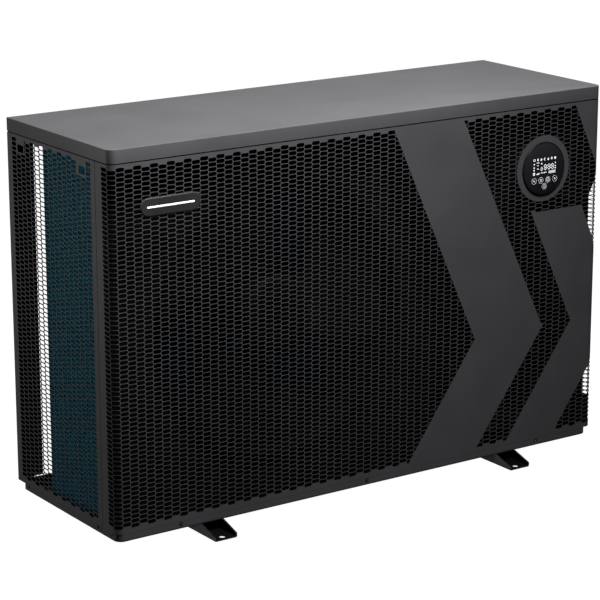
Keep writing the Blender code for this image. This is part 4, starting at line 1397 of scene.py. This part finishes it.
def make_keys():
    """Five printed touch keys, each a ring with a plain sign."""
    bm = bmesh.new()
    low = FACE_Z - 0.0222
    keys = [(FACE_X + x, low) for x in (-0.0244, -0.0074, 0.0102, 0.0270)]
    keys.append((FACE_X + 0.0016, FACE_Z - 0.0347))
    for x, z in keys:
        hoop(bm, x, z, 0.0057, 0.0007, 0, 360, 32)
    for x, z in (keys[0], keys[3]):
        dot(bm, x, z, 0.0021)
    for angle in (45, 135):
        spoke_through(bm, *keys[1], math.radians(angle), 0.0036, 0.0016)
    x, z = keys[2]
    hoop(bm, x, z, 0.0030, 0.0018, 0, 360, 24)
    x, z = keys[4]
    hoop(bm, x, z + 0.0012, 0.0022, 0.0010, 0, 360, 20)
    bar(bm, x, z - 0.0028, 0.0040, 0.0014)
    piece("controller_keys", bm, GREY_INK_PAINTED_GLOW)


def make_badge():
    """A blank plate with round ends and one plain printed line."""
    bm = bmesh.new()
    front = BADGE_LOW.y
    loops = []
    for inset, y in ((0.0, BADGE_HIGH.y), (0.0, front + 0.0005), (0.0005, front)):
        outline = stadium(BADGE_X, BADGE_Z, BADGE_HALF - inset, BADGE_TALL - inset, 16)
        loops.append([bm.verts.new((x, y, z)) for x, z in outline])
    skin(bm, loops)
    piece("badge_plate", bm, BADGE_PLASTIC, stands_for=("badge",))
    bm = bmesh.new()
    outline = stadium(BADGE_X, BADGE_Z, BADGE_HALF - 0.0120, 0.0016, 12)
    prism(bm, outline, front - 0.0002, front + 0.00005, "Y")
    # The badge's printed line glows a little: painted glow.
    piece("badge_line", bm, WHITE_INK_PAINTED_GLOW)


# ---------------------------------------------------------------- water unions, cover and gland


NUT_SEGMENTS = 144
NUT_GRIPS = 12


def make_unions():
    for water in ("inlet", "outlet"):
        low, high = node_box(f"{water}_union_nut")
        y = (low.y + high.y) / 2
        z = (low.z + high.z) / 2
        bm = bmesh.new()
        radius = (high.y - low.y) / 2
        rows = []
        shape = [(0.0306, low.x, 0.0), (radius - 0.0020, low.x, 0.0), (radius - 0.0008, low.x + 0.0010, 0.6),
                 (radius - 0.0002, low.x + 0.0030, 1.0), (radius - 0.0002, high.x - 0.0060, 1.0),
                 (radius - 0.0010, high.x - 0.0040, 0.6), (radius - 0.0034, high.x - 0.0010, 0.0),
                 (radius - 0.0045, high.x, 0.0), (0.0306, high.x, 0.0)]
        for i in range(NUT_SEGMENTS):
            angle = 2 * math.pi * i / NUT_SEGMENTS
            wave = 0.5 + 0.5 * math.cos(NUT_GRIPS * angle)
            groove = 0.0030 * (1 - min(1.0, wave * 2.2))
            row = []
            for r, x, share in shape:
                r -= groove * share
                row.append(bm.verts.new((x, y + r * math.cos(angle), z + r * math.sin(angle))))
            rows.append(row)
        skin_round(bm, rows)
        piece(f"{water}_union_grip_nut", bm, GREY_PLASTIC, stands_for=(f"{water}_union_nut",))
        low, high = node_box(f"{water}_union_tail")
        bm = bmesh.new()
        inner = 0.0252
        outer = (high.y - low.y) / 2
        profile = [(inner, low.x), (outer, low.x), (outer, high.x - 0.0060),
                   (outer - 0.0006, high.x - 0.0052), (outer - 0.0006, high.x - 0.0010),
                   (outer - 0.0014, high.x), (inner + 0.0008, high.x), (inner, high.x - 0.0010)]
        closed_turned(bm, profile, 72, (0.0, y, z), "X")
        piece(f"{water}_union_socket", bm, GREY_PLASTIC, stands_for=(f"{water}_union_tail",))


COVER_SCREW_INSET = 0.010


def make_wiring_cover():
    low, high = node_box("wiring_cover")
    bm = bmesh.new()
    soft_block(bm, (low.x, low.y, low.z), (high.x, high.y, high.z), 0.008, "X", 5, 0.0015)
    piece("wiring_cover_cap", bm, PAINT, stands_for=("wiring_cover",), angle=40)
    heads = bmesh.new()
    washers = bmesh.new()
    for y in (low.y + COVER_SCREW_INSET, high.y - COVER_SCREW_INSET):
        for z in (low.z + COVER_SCREW_INSET, high.z - COVER_SCREW_INSET):
            add_screw(heads, washers, (high.x, y, z), (1, 0, 0), 0.4)
    piece("wiring_cover_screws", heads, ZINC, angle=25)
    piece("wiring_cover_washers", washers, RUBBER)
    low, high = node_box("cable_gland")
    y = (low.y + high.y) / 2
    z = (low.z + high.z) / 2
    bm = bmesh.new()
    base = low.x
    for start, end, radius, sides in ((base, base + 0.0060, 0.0120, 6),
                                      (base + 0.0062, base + 0.0150, 0.0108, 24)):
        prism(bm, ring_points(y, z, radius, sides), start, end, "X")
    dome = [(0.0100, base + 0.0150), (0.0098, base + 0.0175), (0.0088, base + 0.0200),
            (0.0074, base + 0.0215), (0.0062, base + 0.0220), (0.0050, base + 0.0215),
            (0.0048, base + 0.0160), (0.0, base + 0.0160)]
    turned(bm, dome, 40, (0.0, y, z), "X")
    piece("cable_gland_body", bm, BLACK_PLASTIC, stands_for=("cable_gland",))


for make in (make_front_sheet, make_left_sheet, make_lid, make_lid_gasket, make_foot_seals, make_pan,
             make_right_sheet, make_bulkhead, make_rails, make_coil, make_fan, make_screws, make_controller,
             make_badge, make_unions, make_wiring_cover):
    make()

# ---------------------------------------------------------------- floor, light and camera


FLOOR_HALF = 30.0


def make_floor():
    mesh = bpy.data.meshes.new("floor")
    corners = rectangle((-FLOOR_HALF, -FLOOR_HALF), (FLOOR_HALF, FLOOR_HALF))
    mesh.from_pydata([(x, y, 0) for x, y in corners], [], [(0, 1, 2, 3)])
    floor = bpy.data.objects.new("floor", mesh)
    scene.collection.objects.link(floor)
    n = Nodes("pale_floor")
    haze = n.noise(0.7, 2.0)
    tone = n.ramp(haze, (0.3, (0.03, 0.03, 0.03, 1.0)), (0.7, (0.04, 0.04, 0.04, 1.0)))
    n.wire(tone, n.spread(haze, 0.85, 0.95), Specular_IOR_Level=0.0)
    n.shader.inputs["Emission Color"].default_value = (1.0, 1.0, 1.0, 1.0)
    n.shader.inputs["Emission Strength"].default_value = 1.0
    mesh.materials.append(n.material)
    floor.visible_diffuse = False
    floor.visible_glossy = False


LIGHTS = {
    # name: (size, power, place, point it faces), in cabinet coordinates
    "overhead_softbox": ((1.4, 1.2), 18.0, (1.55, 0.45, 1.90), (1.10, 0.2, 0.73)),
    "key_softbox": ((0.6, 0.5), 130.0, (0.48, -0.75, 2.00), (-0.60, 0.0, 0.60)),
    "side_softbox": ((0.9, 0.9), 18.5, (-1.55, 1.25, 0.52), (0.0, 0.2, 0.30)),
    "low_fill": ((0.7, 0.5), 32.0, (-1.6, -0.9, 0.35), (0.2, 0.0, 0.02)),
    "rear_softbox": ((1.4, 1.0), 20.0, (0.80, 2.10, 1.50), (0.6, 0.36, 0.4)),
}


def make_light(name, size, energy, place, target):
    place = CORNER + Vector(place)
    data = bpy.data.lights.new(name, "AREA")
    data.shape = "RECTANGLE"
    data.size, data.size_y = size
    data.energy = energy
    light = bpy.data.objects.new(name, data)
    scene.collection.objects.link(light)
    light.location = place
    light.rotation_euler = (CORNER + Vector(target) - place).to_track_quat("-Z", "Y").to_euler()
    return light


make_floor()
lights = {name: make_light(name, *values) for name, values in LIGHTS.items()}
lights["rear_softbox"].visible_glossy = False

# The low fill stands in for light from the floor, so it falls on the foot rails only.
rails = bpy.data.collections.new("rails")
for side in ("left", "right"):
    rails.objects.link(scene.objects[f"foot_rail_channel_{side}"])
lights["low_fill"].light_linking.receiver_collection = rails


def make_world():
    """A pale studio: dim in front of the object, bright behind it, dark below the horizon."""
    world = bpy.data.worlds.new("studio")
    scene.world = world
    world.use_nodes = True
    tree = world.node_tree
    direction = tree.nodes.new("ShaderNodeTexCoord")
    split = tree.nodes.new("ShaderNodeSeparateXYZ")
    product = tree.nodes.new("ShaderNodeMath")
    product.operation = "MULTIPLY"
    tree.links.new(direction.outputs["Generated"], split.inputs["Vector"])
    for axis, first, last, low, high in (("Y", -0.35, 0.70, 0.12, 1.0), ("Z", -0.10, 0.45, 0.0, 1.0)):
        fade = tree.nodes.new("ShaderNodeMapRange")
        fade.interpolation_type = "SMOOTHSTEP"
        for key, value in zip(("From Min", "From Max", "To Min", "To Max"), (first, last, low, high)):
            fade.inputs[key].default_value = value
        tree.links.new(split.outputs[axis], fade.inputs["Value"])
        tree.links.new(fade.outputs["Result"], product.inputs[0 if axis == "Y" else 1])
    tree.links.new(product.outputs["Value"], tree.nodes["Background"].inputs["Strength"])
    tree.nodes["Background"].inputs["Color"].default_value = (1.0, 1.0, 1.0, 1.0)


make_world()

camera_data = bpy.data.cameras.new("camera")
camera_data.lens = 143.52
camera_data.sensor_width = 36.0
camera_data.clip_end = 100.0
camera = bpy.data.objects.new("camera", camera_data)
scene.collection.objects.link(camera)
camera.location = CORNER + Vector((-1.9825, -3.4520, 1.5451))
camera.rotation_euler = (math.radians(74.82), math.radians(0.037), math.radians(-34.541))
scene.camera = camera
scene.view_settings.view_transform = "Standard"
